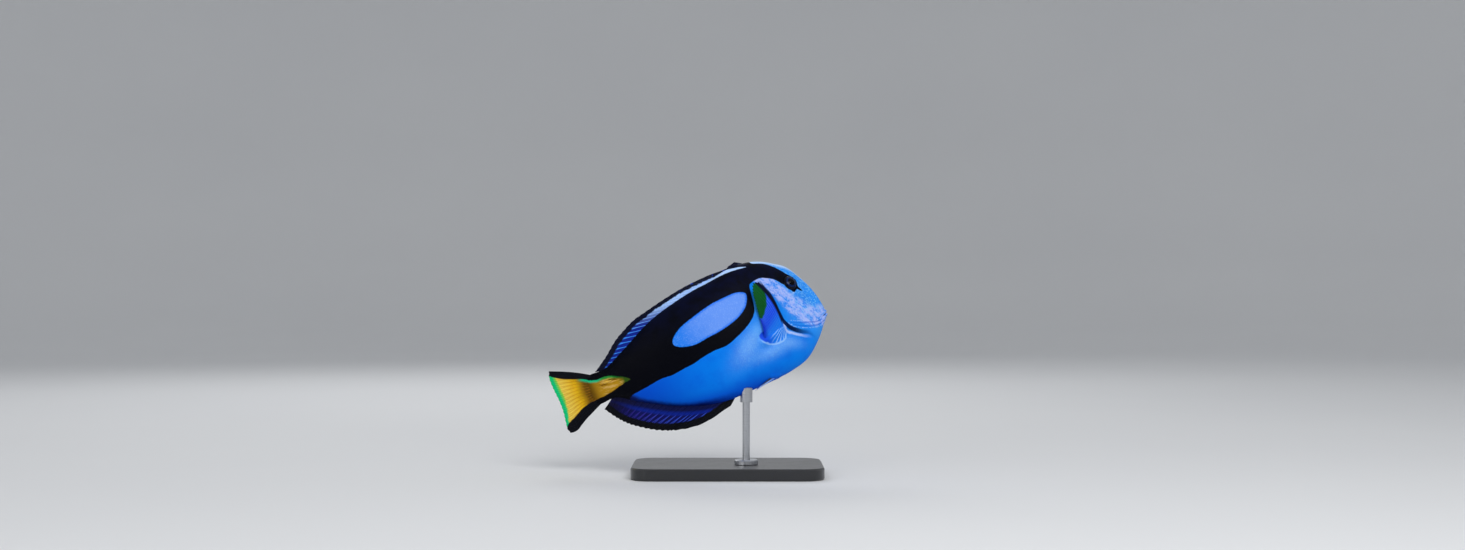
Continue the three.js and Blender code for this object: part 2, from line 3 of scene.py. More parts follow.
import bpy
import numpy as np
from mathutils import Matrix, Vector


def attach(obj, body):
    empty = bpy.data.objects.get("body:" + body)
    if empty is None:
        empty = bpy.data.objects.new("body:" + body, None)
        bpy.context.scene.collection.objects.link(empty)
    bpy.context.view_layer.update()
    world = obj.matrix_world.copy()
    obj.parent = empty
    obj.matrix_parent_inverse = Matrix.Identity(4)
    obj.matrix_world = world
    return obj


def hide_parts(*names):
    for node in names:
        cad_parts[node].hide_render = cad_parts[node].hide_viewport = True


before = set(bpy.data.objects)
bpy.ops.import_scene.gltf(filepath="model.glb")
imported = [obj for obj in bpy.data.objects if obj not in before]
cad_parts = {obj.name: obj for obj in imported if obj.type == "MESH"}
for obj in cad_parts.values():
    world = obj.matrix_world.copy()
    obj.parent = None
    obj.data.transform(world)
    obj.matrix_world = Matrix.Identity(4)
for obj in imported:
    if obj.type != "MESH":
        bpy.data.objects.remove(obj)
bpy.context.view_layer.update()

print("frame loaded:", len(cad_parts), "nodes")

# camera

millimetre = 0.001
cameraSet = {"place": (0.00327, -1.266, 0.1347), "tilt": 90.0, "lens": 46.25, "sensor": 36.0}


def deselectAll():
    bpy.ops.object.select_all(action="DESELECT")


def editAll():
    bpy.ops.object.mode_set(mode="EDIT")
    bpy.ops.mesh.select_all(action="SELECT")


deselectAll()
bpy.ops.object.camera_add(location=cameraSet["place"], rotation=(math.radians(cameraSet["tilt"]), 0, 0))
camera = bpy.context.object
camera.name = "photoCamera"
camera.data.lens = cameraSet["lens"]
camera.data.sensor_width = cameraSet["sensor"]
camera.data.clip_end = 100.0
bpy.context.scene.camera = camera
bpy.context.scene.view_settings.view_transform = "Standard"
print("camera placed")


# node helpers, which all work in the tree that was opened last

canvas = {}


def linear(red, green, blue):
    # from 0-255 screen values to the linear ones that shaders take
    def one(value):
        share = value / 255
        return share / 12.92 if share <= 0.04045 else ((share + 0.055) / 1.055) ** 2.4
    return (one(red), one(green), one(blue), 1.0)


def newNode(kind):
    return canvas["tree"].nodes.new("ShaderNode" + kind)


def plug(socket, value):
    if isinstance(value, bpy.types.NodeSocket):
        canvas["tree"].links.new(value, socket)
    else:
        socket.default_value = value


def newMaterial(name, roughness=0.5, specular=0.5, coat=0.0, coatRoughness=0.1, metallic=0.0):
    made = bpy.data.materials.new(name)
    made.use_nodes = True
    canvas["tree"] = made.node_tree
    shader = made.node_tree.nodes["Principled BSDF"]
    fixed = {"Roughness": roughness, "Specular IOR Level": specular, "Coat Weight": coat,
             "Coat Roughness": coatRoughness, "Metallic": metallic}
    for label, value in fixed.items():
        shader.inputs[label].default_value = value
    return made, shader


def feed(shader, colour, normal=None, roughness=None):
    for label, value in (("Base Color", colour), ("Normal", normal), ("Roughness", roughness)):
        if value is not None:
            plug(shader.inputs[label], value)


def calc(operation, *values, clamp=False):
    node = newNode("Math")
    node.operation = operation
    node.use_clamp = clamp
    for socket, value in zip(node.inputs, values):
        plug(socket, value)
    return node.outputs[0]


def times(first, second):
    return calc("MULTIPLY", first, second)


def plus(first, second):
    return calc("ADD", first, second)


def timesPlus(first, second, third):
    return calc("MULTIPLY_ADD", first, second, third)


def sway(noise, reach):
    # noise as a shift to either side
    return times(calc("SUBTRACT", noise, 0.5), reach)


def ease(value, low, high):
    node = newNode("MapRange")
    node.interpolation_type = "SMOOTHSTEP"
    for label, given in (("Value", value), ("From Min", low), ("From Max", high)):
        plug(node.inputs[label], given)
    return node.outputs["Result"]


def blend(share, low, high):
    # a colour is a node's output or three screen values
    node = newNode("Mix")
    node.data_type = "RGBA"
    plug(node.inputs[0], share)
    for number, colour in ((6, low), (7, high)):
        plug(node.inputs[number], linear(*colour) if isinstance(colour, tuple) else colour)
    return node.outputs[2]


def paint(base, *layers):
    # colours laid over one another, each with its share
    for share, colour in layers:
        base = blend(share, base, colour)
    return base


def readNumber(name):
    node = newNode("Attribute")
    node.attribute_name = name
    return node.outputs["Fac"]


def readVector(name):
    node = newNode("Attribute")
    node.attribute_name = name
    return node.outputs["Vector"]


def split(vector):
    node = newNode("SeparateXYZ")
    plug(node.inputs[0], vector)
    return node.outputs


def objectPlace():
    return newNode("TexCoord").outputs["Object"]


def stretched(vector, scale):
    node = newNode("Mapping")
    plug(node.inputs["Vector"], vector)
    node.inputs["Scale"].default_value = scale
    return node.outputs["Vector"]


def turnedPlace(vector, degrees, scale):
    # the place turned in the flank's plane and then stretched, for streaks that run one way
    node = newNode("Mapping")
    plug(node.inputs["Vector"], vector)
    node.inputs["Rotation"].default_value = (0, 0, math.radians(degrees))
    return stretched(node.outputs["Vector"], scale)


def cloud(vector, scale, detail=3.0, roughness=0.5):
    node = newNode("TexNoise")
    for label, value in (("Vector", vector), ("Scale", scale), ("Detail", detail), ("Roughness", roughness)):
        plug(node.inputs[label], value)
    return node.outputs["Fac"]


def bumpFrom(height, distance, strength=1.0, under=None):
    node = newNode("Bump")
    for label, value in (("Strength", strength), ("Distance", distance), ("Height", height)):
        plug(node.inputs[label], value)
    if under is not None:
        plug(node.inputs["Normal"], under)
    return node.outputs["Normal"]


def newGroup(name, takes, gives):
    group = bpy.data.node_groups.new(name, "ShaderNodeTree")
    for label, kind in takes.items():
        group.interface.new_socket(label, in_out="INPUT", socket_type="NodeSocket" + kind)
    for label in gives:
        group.interface.new_socket(label, in_out="OUTPUT", socket_type="NodeSocketFloat")
    canvas["tree"] = group
    return group, group.nodes.new("NodeGroupInput").outputs, group.nodes.new("NodeGroupOutput").inputs


def useGroup(group, **values):
    node = newNode("Group")
    node.node_tree = group
    for label, value in values.items():
        plug(node.inputs[label], value)
    return node.outputs


def makeScaleGrain():
    # fine scales: small cells, softly domed, with a little unevenness between them
    group, given, result = newGroup("scaleGrain", {"Place": "Vector", "Size": "Float"}, ("Height", "Fleck"))
    cells = newNode("TexVoronoi")
    plug(cells.inputs["Vector"], given["Place"])
    plug(cells.inputs["Scale"], given["Size"])
    dome = calc("SUBTRACT", 1.0, cells.outputs["Distance"], clamp=True)
    rough = cloud(given["Place"], times(given["Size"], 0.45), 2.0)
    plug(result["Height"], timesPlus(rough, 0.8, dome))
    each = newNode("SeparateColor")
    plug(each.inputs[0], cells.outputs["Color"])
    plug(result["Fleck"], ease(each.outputs[0], 0.55, 1.0))
    return group


def makeRayRidges():
    # fin rays: a ridge on each whole number of Ray, parting in two towards the edge
    group, given, result = newGroup("rayRidges", {"Ray": "Float", "Share": "Float"}, ("Ridge", "Joint"))
    whole = calc("FRACT", plus(given["Ray"], 0.5))
    off = calc("ABSOLUTE", calc("SUBTRACT", whole, 0.5))
    parting = times(ease(given["Share"], 0.35, 1.0), 0.24)
    twig = calc("ABSOLUTE", calc("SUBTRACT", off, parting))
    ridge = calc("SUBTRACT", 1.0, ease(twig, 0.03, 0.15))
    plug(result["Ridge"], ridge)
    steps = calc("FRACT", times(given["Share"], 18.0))
    plug(result["Joint"], times(calc("LESS_THAN", steps, 0.16), ridge))
    return group


scaleGrain = makeScaleGrain()
rayRidges = makeRayRidges()

# floor and light

lightAim = (0, 0, 0.08)
floorSet = {
    "radius": 2.2, "colour": (222, 223, 224),
    "cove": [(0.45, 0.04), (0.40, 0.14), (0.32, 0.28), (0.20, 0.42), (0.08, 0.55), (0.02, 1.30)],
}


def makeFloor():
    deselectAll()
    bpy.ops.mesh.primitive_circle_add(vertices=96, radius=floorSet["radius"], fill_type="NGON")
    floor = bpy.context.object
    floor.name = "studioFloor"
    editAll()
    bpy.ops.mesh.inset(thickness=0.3)
    bpy.ops.mesh.select_mode(type="EDGE")
    bpy.ops.mesh.select_all(action="SELECT")
    bpy.ops.mesh.region_to_loop()
    reach = floorSet["radius"]
    for outwards, rise in floorSet["cove"]:
        wider = (reach + outwards) / reach
        bpy.ops.mesh.extrude_edges_move(TRANSFORM_OT_translate={"value": (0, 0, rise)})
        bpy.ops.transform.resize(value=(wider, wider, 1), center_override=(0, 0, 0))
        reach += outwards
    bpy.ops.object.mode_set(mode="OBJECT")
    bpy.ops.object.shade_smooth()
    made, shader = newMaterial("paperFloor", roughness=0.9, specular=0.1)
    feed(shader, blend(cloud(objectPlace(), 2.0), (216, 217, 219), floorSet["colour"]))
    floor.data.materials.append(made)


def addLight(name, place, size, power):
    deselectAll()
    bpy.ops.object.light_add(type="AREA", location=place)
    light = bpy.context.object
    light.name = name
    light.data.shape = "RECTANGLE"
    light.data.size, light.data.size_y = size
    light.data.energy = power
    aim = Vector(lightAim) - Vector(place)
    light.rotation_euler = aim.to_track_quat("-Z", "Y").to_euler()


makeFloor()
addLight("keyLight", (0.42, -1.02, 0.92), (0.8, 0.6), 9.5)
addLight("fillLight", (-1.1, -1.0, 0.50), (0.9, 0.7), 3.4)
addLight("backLight", (-0.3, 1.1, 0.9), (1.0, 0.5), 4.5)

world = bpy.data.worlds.new("studioAir")
world.use_nodes = True
air = world.node_tree.nodes["Background"].inputs
air["Color"].default_value = (0.90, 0.92, 0.95, 1)
air["Strength"].default_value = 0.60
bpy.context.scene.world = world
print("floor and light made")

# the straight fish and how it bends
# along runs from the snout to the tail root, up and side are in the same shares of its length;
# side is positive on the fish's right

fish = {
    "length": 0.176, "centre": (-0.009, -0.004, 0.092), "yaw": -14.0, "pitch": 20.5, "roll": -11.0,
    "headBend": -16.5, "tailBend": 34.0, "finBend": 6.5,
}
mm = millimetre / fish["length"]      # the same as a share of the fish's length

sides = (("right", 1), ("left", -1))

# along, top, bottom, half width, widest level
stations = [
    (0.020, -0.026, -0.076, 0.017, -0.052), (0.031, 0.018, -0.085, 0.0295, -0.034),
    (0.085, 0.138, -0.139, 0.045, -0.006), (0.160, 0.198, -0.195, 0.057, 0.010),
    (0.250, 0.2305, -0.221, 0.068, 0.014), (0.340, 0.232, -0.231, 0.076, 0.014),
    (0.440, 0.214, -0.2365, 0.077, 0.006), (0.560, 0.192, -0.2365, 0.067, -0.006),
    (0.700, 0.156, -0.198, 0.050, -0.012), (0.850, 0.089, -0.119, 0.031, -0.010),
    (0.945, 0.055, -0.062, 0.020, -0.003), (1.000, 0.058, -0.062, 0.009, -0.002),
]


def smoothLine(points):
    at = np.array([point[0] for point in points], float)
    value = np.array([point[1] for point in points], float)
    width = np.diff(at)
    rise = np.diff(value) / width
    inner = (rise[:-1] * width[1:] + rise[1:] * width[:-1]) / (width[1:] + width[:-1])
    slope = np.concatenate([rise[:1], inner, rise[-1:]])

    def line(place):
        q = np.clip(np.asarray(place, float), at[0], at[-1])
        i = np.clip(np.searchsorted(at, q) - 1, 0, len(at) - 2)
        t = (q - at[i]) / width[i]
        rest = 1 - t
        return (value[i] * (1 + 2 * t) * rest * rest + slope[i] * width[i] * t * rest * rest
                + value[i + 1] * t * t * (3 - 2 * t) + slope[i + 1] * width[i] * t * t * (t - 1))
    return line


def unit(value):
    return np.clip(value, 0, 1)


def smoothStep(value, low, high):
    t = unit((np.asarray(value, float) - low) / (high - low))
    return t * t * (3 - 2 * t)


def bell(value, width):
    return np.exp(-(value / width) ** 2)


def mixed(low, high, share):
    return low + (high - low) * share


topLine = smoothLine([(s[0], s[1]) for s in stations])
bottomLine = smoothLine([(s[0], s[2]) for s in stations])
halfLine = smoothLine([(s[0], s[3]) for s in stations])
levelLine = smoothLine([(s[0], s[4]) for s in stations])


def layBackbone():
    place = np.linspace(-0.05, 1.35, 281)
    turn = np.radians(fish["headBend"] * unit((0.5 - place) / 0.25)
                      + fish["tailBend"] * unit((place - 0.5) / 0.45)
                      + fish["finBend"] * unit((place - 0.93) / 0.08))
    step = place[1] - place[0]

    def run(slope):
        line = -np.concatenate([[0], np.cumsum((slope[1:] + slope[:-1]) / 2 * step)])
        return line - np.interp(0.5, place, line)
    return place, run(np.cos(turn)), run(np.sin(turn)), turn


def turnMatrix():
    matrix = np.eye(3)
    for first, second, degrees in ((0, 1, -fish["yaw"]), (2, 0, -fish["pitch"]), (1, 2, fish["roll"])):
        angle = math.radians(degrees)
        about = np.eye(3)
        about[first, first] = about[second, second] = math.cos(angle)
        about[first, second], about[second, first] = -math.sin(angle), math.sin(angle)
        matrix = matrix @ about
    return matrix


backbone = layBackbone()
turned = turnMatrix()


def bend(along, up, side):
    along, up, side = np.broadcast_arrays(*(np.asarray(value, float) for value in (along, up, side)))
    place, forwardLine, sideLine, turnLine = backbone
    turn = np.interp(along, place, turnLine)
    forward = np.interp(along, place, forwardLine) - side * np.sin(turn)
    right = np.interp(along, place, sideLine) + side * np.cos(turn)
    local = np.stack([forward, -right, up], -1) * fish["length"]
    return local @ turned.T + np.array(fish["centre"])


def sharpness(along):
    return 1 + 0.25 * unit((along - 0.1) / 0.3)


def skinHalf(along, up):
    level = levelLine(along)
    reach = np.where(up > level, topLine(along) - level, level - bottomLine(along))
    share = unit(np.abs(up - level) / reach)
    return halfLine(along) * (1 - share * share) ** (sharpness(along) / 2)


def seat(along, up, sign):
    # the point on the flank and the way out from it, on one side
    def on(a, u):
        return bend(a, u, sign * skinHalf(a, u))
    step = 0.004
    lengthwise = on(along + step, up) - on(along - step, up)
    upwards = on(along, up + step) - on(along, up - step)
    normal = np.cross(upwards, lengthwise)
    normal /= np.linalg.norm(normal)
    if normal @ (bend(along, up, sign) - bend(along, up, 0)) < 0:
        normal = -normal
    return on(along, up), normal


# mesh helpers

def setPlaces(mesh, places):
    mesh.vertices.foreach_set("co", np.ascontiguousarray(places, np.float32).ravel())
    mesh.update()


def getPlaces(mesh, kind="co"):
    found = np.empty(len(mesh.vertices) * 3, np.float32)
    mesh.vertices.foreach_get(kind, found)
    return found.reshape(-1, 3).astype(float)


def keepNumber(mesh, name, values):
    layer = mesh.attributes.new(name, "FLOAT", "POINT")
    layer.data.foreach_set("value", np.ascontiguousarray(values, np.float32))


def keepVector(mesh, name, *values):
    layer = mesh.attributes.new(name, "FLOAT_VECTOR", "POINT")
    layer.data.foreach_set("vector", np.ascontiguousarray(np.stack(values, 1), np.float32).ravel())


def faceOutwards():
    editAll()
    bpy.ops.mesh.normals_make_consistent(inside=False)
    bpy.ops.object.mode_set(mode="OBJECT")


def dress(piece, name, material, slot, *nodes):
    piece.name = name
    piece.data.name = name
    piece.data.materials.clear()
    piece.data.materials.append(material)
    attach(piece, "root")
    if nodes:
        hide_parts(*nodes)
    print(name, "made:", len(piece.data.polygons), "faces")


# markings, as outlines on the flank: along and up

markings = {
    "black": [
        (0.917, 0.065), (0.870, 0.087), (0.820, 0.107), (0.764, 0.1295), (0.709, 0.1522), (0.652, 0.1702),
        (0.600, 0.1828), (0.549, 0.1938), (0.4965, 0.2025), (0.450, 0.2068), (0.419, 0.2117), (0.391, 0.2150),
        (0.363, 0.2165), (0.336, 0.2163), (0.309, 0.2146), (0.281, 0.2125), (0.303, 0.2215), (0.328, 0.2262),
        (0.350, 0.232), (0.358, 0.252), (0.256, 0.252), (0.250, 0.222), (0.234, 0.214), (0.200, 0.202),
        (0.172, 0.180), (0.148, 0.154), (0.130, 0.130), (0.119, 0.110), (0.115, 0.088), (0.112, 0.074),
        (0.104, 0.060), (0.100, 0.051), (0.109, 0.055), (0.120, 0.063), (0.130, 0.061), (0.140, 0.056),
        (0.152, 0.064), (0.168, 0.088), (0.198, 0.124), (0.231, 0.142), (0.263, 0.151),
        (0.298, 0.146), (0.313, 0.136), (0.321, 0.108), (0.331, 0.064), (0.341, 0.035), (0.361, 0.012),
        (0.393, -0.010), (0.439, -0.032), (0.481, -0.047), (0.531, -0.048), (0.571, -0.054),
        (0.614, -0.064), (0.652, -0.067), (0.694, -0.072), (0.742, -0.069), (0.787, -0.074),
        (0.832, -0.078), (0.876, -0.084), (0.905, -0.110), (0.960, -0.120), (1.060, -0.110),
        (1.060, 0.110), (0.970, 0.090),
    ],
    "oval": [
        (0.341, 0.108), (0.351, 0.122), (0.381, 0.130), (0.421, 0.128), (0.481, 0.121), (0.551, 0.102),
        (0.604, 0.084), (0.639, 0.061), (0.652, 0.041), (0.648, 0.025), (0.619, 0.008), (0.576, 0.001),
        (0.526, 0.008), (0.489, 0.012), (0.449, 0.021), (0.411, 0.034), (0.376, 0.055), (0.356, 0.076),
    ],
    "wedge": [
        (0.848, -0.023), (0.866, -0.007), (0.885, 0.005), (0.905, 0.014), (0.931, 0.0235), (0.955, 0.0275),
        (0.982, 0.0285), (1.000, 0.0330), (1.019, 0.0400), (1.048, 0.0560), (1.070, 0.0640), (1.070, -0.0370),
        (1.048, -0.0405), (1.026, -0.0405), (0.998, -0.0400), (0.961, -0.0395), (0.9285, -0.0355),
        (0.897, -0.0305), (0.872, -0.0265),
    ],
    # outline of the painted shade along the underside
    "keelShade": [
        (0.900, -0.060), (0.864, -0.086), (0.846, -0.105), (0.814, -0.127), (0.750, -0.165), (0.681, -0.196),
        (0.606, -0.215), (0.549, -0.222), (0.490, -0.228), (0.440, -0.262), (0.700, -0.300), (1.000, -0.180),
    ],
    "pad": [
        (0.249, -0.050), (0.247, -0.067), (0.252, -0.087), (0.266, -0.1005), (0.292, -0.1055), (0.319, -0.102),
        (0.342, -0.088), (0.355, -0.072), (0.352, -0.052), (0.300, -0.040),
    ],
    "gill": [
        (0.246, 0.200), (0.262, 0.170), (0.271, 0.139), (0.266, 0.105), (0.258, 0.083), (0.253, 0.040),
        (0.251, 0.000), (0.243, -0.035), (0.218, -0.071), (0.180, -0.095), (0.140, -0.110), (0.118, -0.135),
    ],
    "cheek": [
        (0.262, 0.150), (0.253, 0.142), (0.235, 0.108), (0.212, 0.068), (0.184, 0.023), (0.150, -0.014),
        (0.105, -0.050), (0.050, -0.064),
    ],
    "rim": [(0.247, -0.040), (0.241, -0.074), (0.213, -0.094), (0.175, -0.113), (0.136, -0.127)],
    "wrinkle": [(0.215, -0.050), (0.175, -0.062), (0.133, -0.071), (0.091, -0.080), (0.060, -0.078)],
    "jaw": [(0.205, -0.062), (0.161, -0.079), (0.114, -0.090), (0.078, -0.092), (0.052, -0.086)],
    "slit": [
        (0.232, 0.330), (0.246, 0.240), (0.262, 0.180), (0.271, 0.139), (0.265, 0.100), (0.256, 0.060),
        (0.252, 0.010), (0.244, -0.035), (0.220, -0.070), (0.180, -0.096), (0.140, -0.114),
        (0.112, -0.150), (0.096, -0.210), (0.090, -0.330),
    ],
}


def rounded(points, closed, steps=6):
    # a curve through the points, so that no straight stretch shows
    known = np.array(points, float)
    count = len(known)
    fine = []
    for i in range(count if closed else count - 1):
        if closed:
            a, b, c, d = (known[(i + k) % count] for k in (-1, 0, 1, 2))
        else:
            a, b, c, d = (known[min(max(i + k, 0), count - 1)] for k in (-1, 0, 1, 2))
        for t in np.arange(steps) / steps:
            fine.append(0.5 * (2 * b + (c - a) * t + (2 * a - 5 * b + 4 * c - d) * t ** 2
                               + (3 * b - a - 3 * c + d) * t ** 3))
    if not closed:
        fine.append(known[-1])
    return np.array(fine)


def lineDistance(along, up, line, closed=False):
    # distance to a line in millimetres, and for a closed one positive inside it
    line = np.asarray(line, float)
    starts = line if closed else line[:-1]
    ends = np.roll(line, -1, 0) if closed else line[1:]
    way = ends - starts
    size = (way ** 2).sum(1)
    found = np.empty(len(along))
    for first in range(0, len(along), 6000):
        part = slice(first, first + 6000)
        x = along[part, None] - starts[None, :, 0]
        y = up[part, None] - starts[None, :, 1]
        t = unit((x * way[:, 0] + y * way[:, 1]) / size)
        gap = np.sqrt(((x - t * way[:, 0]) ** 2 + (y - t * way[:, 1]) ** 2).min(1))
        if closed:
            low = starts[None, :, 1] > up[part, None]
            high = ends[None, :, 1] > up[part, None]
            rise = np.where(way[:, 1] == 0, 1e-12, way[:, 1])
            cross = starts[None, :, 0] + way[:, 0] * (up[part, None] - starts[None, :, 1]) / rise
            inside = ((low != high) & (along[part, None] < cross)).sum(1) % 2 == 1
            gap = np.where(inside, gap, -gap)
        found[part] = gap / mm
    return found


def markGap(name, along, up, closed=False):
    return lineDistance(along, up, rounded(markings[name], closed), closed)


def spot(along, up, centre, reach, lean=0.0):
    # a soft airbrushed patch: 1 in its middle, fading out at its reach
    angle = math.radians(lean)
    x, y = along - centre[0], up - centre[1]
    lengthwise = (x * math.cos(angle) + y * math.sin(angle)) / reach[0]
    across = (y * math.cos(angle) - x * math.sin(angle)) / reach[1]
    return np.exp(-(lengthwise ** 2 + across ** 2))


slitLine = rounded(markings["slit"], False)
slitAt = smoothLine(sorted((up, along) for along, up in markings["slit"]))

# the skin, one piece from the lips to the tail's scaled root

skin = {
    "segments": 300, "rings": 300,
    "muzzleDepth": 0.0045,       # how far the blunt snout stands before the first station
    "sheathEnd": 1.034,          # where the scales run out on the tail fin
    "frontShare": 0.04, "rearShare": 0.965, "sheathShare": 0.7,
    "coverLift": 0.0045, "coverHollow": 0.0040, "coverEdge": 0.0026,
    "lipHeight": 0.50, "lipAway": 1.05, "lipWidth": 0.75, "mouthDepth": 0.85, "mouthWidth": 0.28,
    "eyePlace": (0.141, 0.095), "rimHeight": 0.6, "bowlDepth": 2.4,
    "nostrils": [((0.104, 0.100), 0.8), ((0.112, 0.106), 0.55)],
    "snoutGroove": [(0.119, 0.068), (0.103, 0.050), (0.083, 0.019)],
    "pectoralRoot": [(0.250, -0.058), (0.344, -0.084)],
    "pelvicRoot": [(0.322, -0.223), (0.352, -0.216)], "rootSink": 0.004,
}
mouthLine = smoothLine([(0.013, -0.0580), (0.020, -0.0583), (0.036, -0.0640), (0.045, -0.0680),
                        (0.060, -0.0775), (0.085, -0.0940)])
ringPlace = smoothLine([(skin["frontShare"], stations[0][0]), (0.16, 0.062), (0.48, 0.300), (0.75, 0.640),
                        (skin["rearShare"], 1.000)])


def sectionPlaces(share, angle):
    # share runs from the snout's pole to the tail's, angle round the section
    along = ringPlace(share)
    front = unit(share / skin["frontShare"])
    rear = unit((share - skin["rearShare"]) / (1 - skin["rearShare"]))
    sheath = unit(rear / skin["sheathShare"])
    closing = np.sqrt(unit(1 - unit((rear - skin["sheathShare"]) / (1 - skin["sheathShare"])) ** 2))
    top, bottom, half, level = topLine(along), bottomLine(along), halfLine(along), levelLine(along)
    shrink = np.sin(front * math.pi / 2) * closing
    rise, out = np.sin(angle), np.cos(angle)
    reach = np.where(rise > 0, top - level, level - bottom) * shrink
    half = half * shrink * (1 - 0.72 * sheath)
    up = level + reach * rise
    side = half * np.sign(out) * np.abs(out) ** sharpness(along)
    normalUp, normalSide = rise * half, out * reach
    size = np.maximum(np.hypot(normalUp, normalSide), 1e-9)
    fade = smoothStep(up, -0.16, -0.09) * smoothStep(up, 0.17, 0.12)
    gap = along - slitAt(up)
    cover = skin["coverLift"] * bell(gap, 0.05)
    hollow = -skin["coverHollow"] * bell(gap, 0.06)
    near = lineDistance(along, up, slitLine) * mm * np.sign(gap)
    lift = fade * mixed(cover, hollow, smoothStep(near, -skin["coverEdge"], skin["coverEdge"]))
    lift = lift * np.abs(normalSide) / size
    muzzle = stations[0][0] - skin["muzzleDepth"] * np.cos(front * math.pi / 2)
    along = np.where(share < skin["frontShare"], muzzle, along)
    along = np.where(rear > 0, 1 + (skin["sheathEnd"] - 1) * np.sin(sheath * math.pi / 2), along)
    return along, up + normalUp / size * lift, side + normalSide / size * lift


def mouldFace(places, normals, along, up):
    # lips, mouth, nostrils, folds, eye sockets and fin roots, in millimetres out of the skin
    fromMouth = (up - mouthLine(along)) / mm
    corner = smoothStep(along, 0.048, 0.036)
    crease = smoothStep(along, 0.034, 0.046) * smoothStep(along, 0.082, 0.056)
    lips = skin["lipHeight"] * bell(np.abs(fromMouth) - skin["lipAway"], skin["lipWidth"])
    lips -= skin["mouthDepth"] * bell(fromMouth, skin["mouthWidth"])
    lips -= 0.28 * bell(np.abs(fromMouth) - 2.9, 0.6)
    out = corner * lips - 0.45 * crease * bell(fromMouth, 0.55)
    out -= 0.35 * bell(lineDistance(along, up, skin["snoutGroove"]), 0.6)
    out -= 0.22 * bell(foldGap(along, up), 0.45)
    root = lineDistance(along, up, skin["pectoralRoot"])
    out += bell(root, 1.9) - 0.65 * bell(root - 5.0, 2.0)
    out += 0.6 * bell(lineDistance(along, up, skin["pelvicRoot"]), 1.4)
    shaped = places + normals * (out * millimetre)[:, None]
    eyeGap = np.full(len(places), 99.0)
    for _, sign in sides:
        point, way = seat(*skin["eyePlace"], sign)
        away = places - point
        height = away @ way
        radius = np.linalg.norm(away - height[:, None] * way, axis=1) / millimetre
        radius = np.where(np.abs(height) < 0.010, radius, 99.0)
        eyeGap = np.minimum(eyeGap, radius)
        rim = skin["rimHeight"] * bell(radius - 5.5, 0.85)
        bowl = -skin["bowlDepth"] * smoothStep(radius, 5.1, 3.8)
        shaped += way * ((rim + bowl) * millimetre)[:, None]
        for place, wide in skin["nostrils"]:
            point, way = seat(*place, sign)
            apart = np.linalg.norm(places - point, axis=1) / millimetre
            pit = -1.1 * wide * bell(apart, 0.75 * wide)
            pit += 0.25 * bell(apart - 1.35 * wide, 0.4 * wide)
            shaped += way * (pit * millimetre)[:, None]
    return shaped, eyeGap, fromMouth


def foldGap(along, up):
    # distance to the nearer of the two folds along the jaw
    return np.minimum(markGap("wrinkle", along, up), markGap("jaw", along, up))


def makeSkin():
    deselectAll()
    bpy.ops.mesh.primitive_uv_sphere_add(segments=skin["segments"], ring_count=skin["rings"], radius=1.0)
    piece = bpy.context.object
    mesh = piece.data
    ball = getPlaces(mesh)
    share = np.arccos(np.clip(ball[:, 2] / np.linalg.norm(ball, axis=1), -1, 1)) / math.pi
    angle = np.arctan2(ball[:, 1], ball[:, 0])
    along, up, side = sectionPlaces(share, angle)
    setPlaces(mesh, bend(along, up, side))
    faceOutwards()
    shaped, eyeGap, fromMouth = mouldFace(getPlaces(mesh), getPlaces(mesh, "normal"), along, up)
    setPlaces(mesh, shaped)
    bpy.ops.object.shade_smooth()
    keepVector(mesh, "fishPlace", along, up, side)
    for name in ("black", "oval", "wedge", "keelShade", "pad", "gill", "rim"):
        keepNumber(mesh, name + "Gap", markGap(name, along, up, name not in ("gill", "rim")))
    keepNumber(mesh, "eyeGap", eyeGap)
    keepNumber(mesh, "mouthGap", fromMouth)
    keepNumber(mesh, "wrinkleGap", foldGap(along, up))
    cheek = 1.15 * bell(markGap("cheek", along, up), mixed(6.6, 4.4, smoothStep(along, 0.20, 0.25)))
    chest = (
        1.00 * spot(along, up, (0.400, -0.072), (0.080, 0.036), -36)
        + 0.85 * spot(along, up, (0.325, -0.128), (0.080, 0.024), -4)
        + 0.60 * spot(along, up, (0.240, -0.122), (0.060, 0.020), 22)
    )
    # painted shade: deeper blue on the lower flank, over the rear of the body and in a patch in front of the
    # eye
    paintedShade = (
        0.90 * smoothStep(up, -0.160, -0.245) * smoothStep(along, 0.16, 0.44)
        + 0.80 * smoothStep(along, 0.50, 0.84) * smoothStep(up, 0.05, -0.10)
        + 0.40 * spot(along, up, (0.112, 0.020), (0.040, 0.026), 52)
    )
    browWidth = mixed(0.036, 0.028, smoothStep(along, 0.04, 0.20))
    # painted highlight: a pale band along the top of the head, where the light falls
    browHighlightBand = smoothStep((topLine(along) - up) / browWidth, 1.0, 0.25) * smoothStep(along, 0.285, 0.255)
    keepVector(mesh, "tones", unit(cheek), unit(paintedShade), browHighlightBand)
    jaw = spot(along, up, (0.085, -0.108), (0.090, 0.046), 30)
    jaw = np.maximum(jaw, 0.7 * smoothStep(along, 0.26, 0.20) * smoothStep(up, -0.13, -0.06))
    stripe = smoothStep(along, 0.262, 0.285) * smoothStep((topLine(along) - up) / 0.05, 1.0, 0.6)
    keepVector(mesh, "washes", unit(chest), jaw, stripe)
    speckle = smoothStep(along, 0.24, 0.10) * smoothStep(up, -0.09, -0.02) + 0.5 * chest
    recess = (
        spot(along, up, (0.325, 0.045), (0.110, 0.026), 62)
        + spot(along, up, (0.352, -0.045), (0.04, 0.022), 80)
    )
    below = (
        spot(along, up, (0.120, 0.0705), (0.008, 0.0032), 50)
        + 0.7 * spot(along, up, (0.147, 0.0545), (0.008, 0.0030), -10)
    )
    keepVector(mesh, "touches", unit(speckle), unit(recess), unit(below))
    rootAlong, rootUp = skin["pectoralRoot"][0]
    keepNumber(mesh, "padTurn", np.degrees(np.arctan2(up - rootUp - 0.012, along - rootAlong)))
    return piece


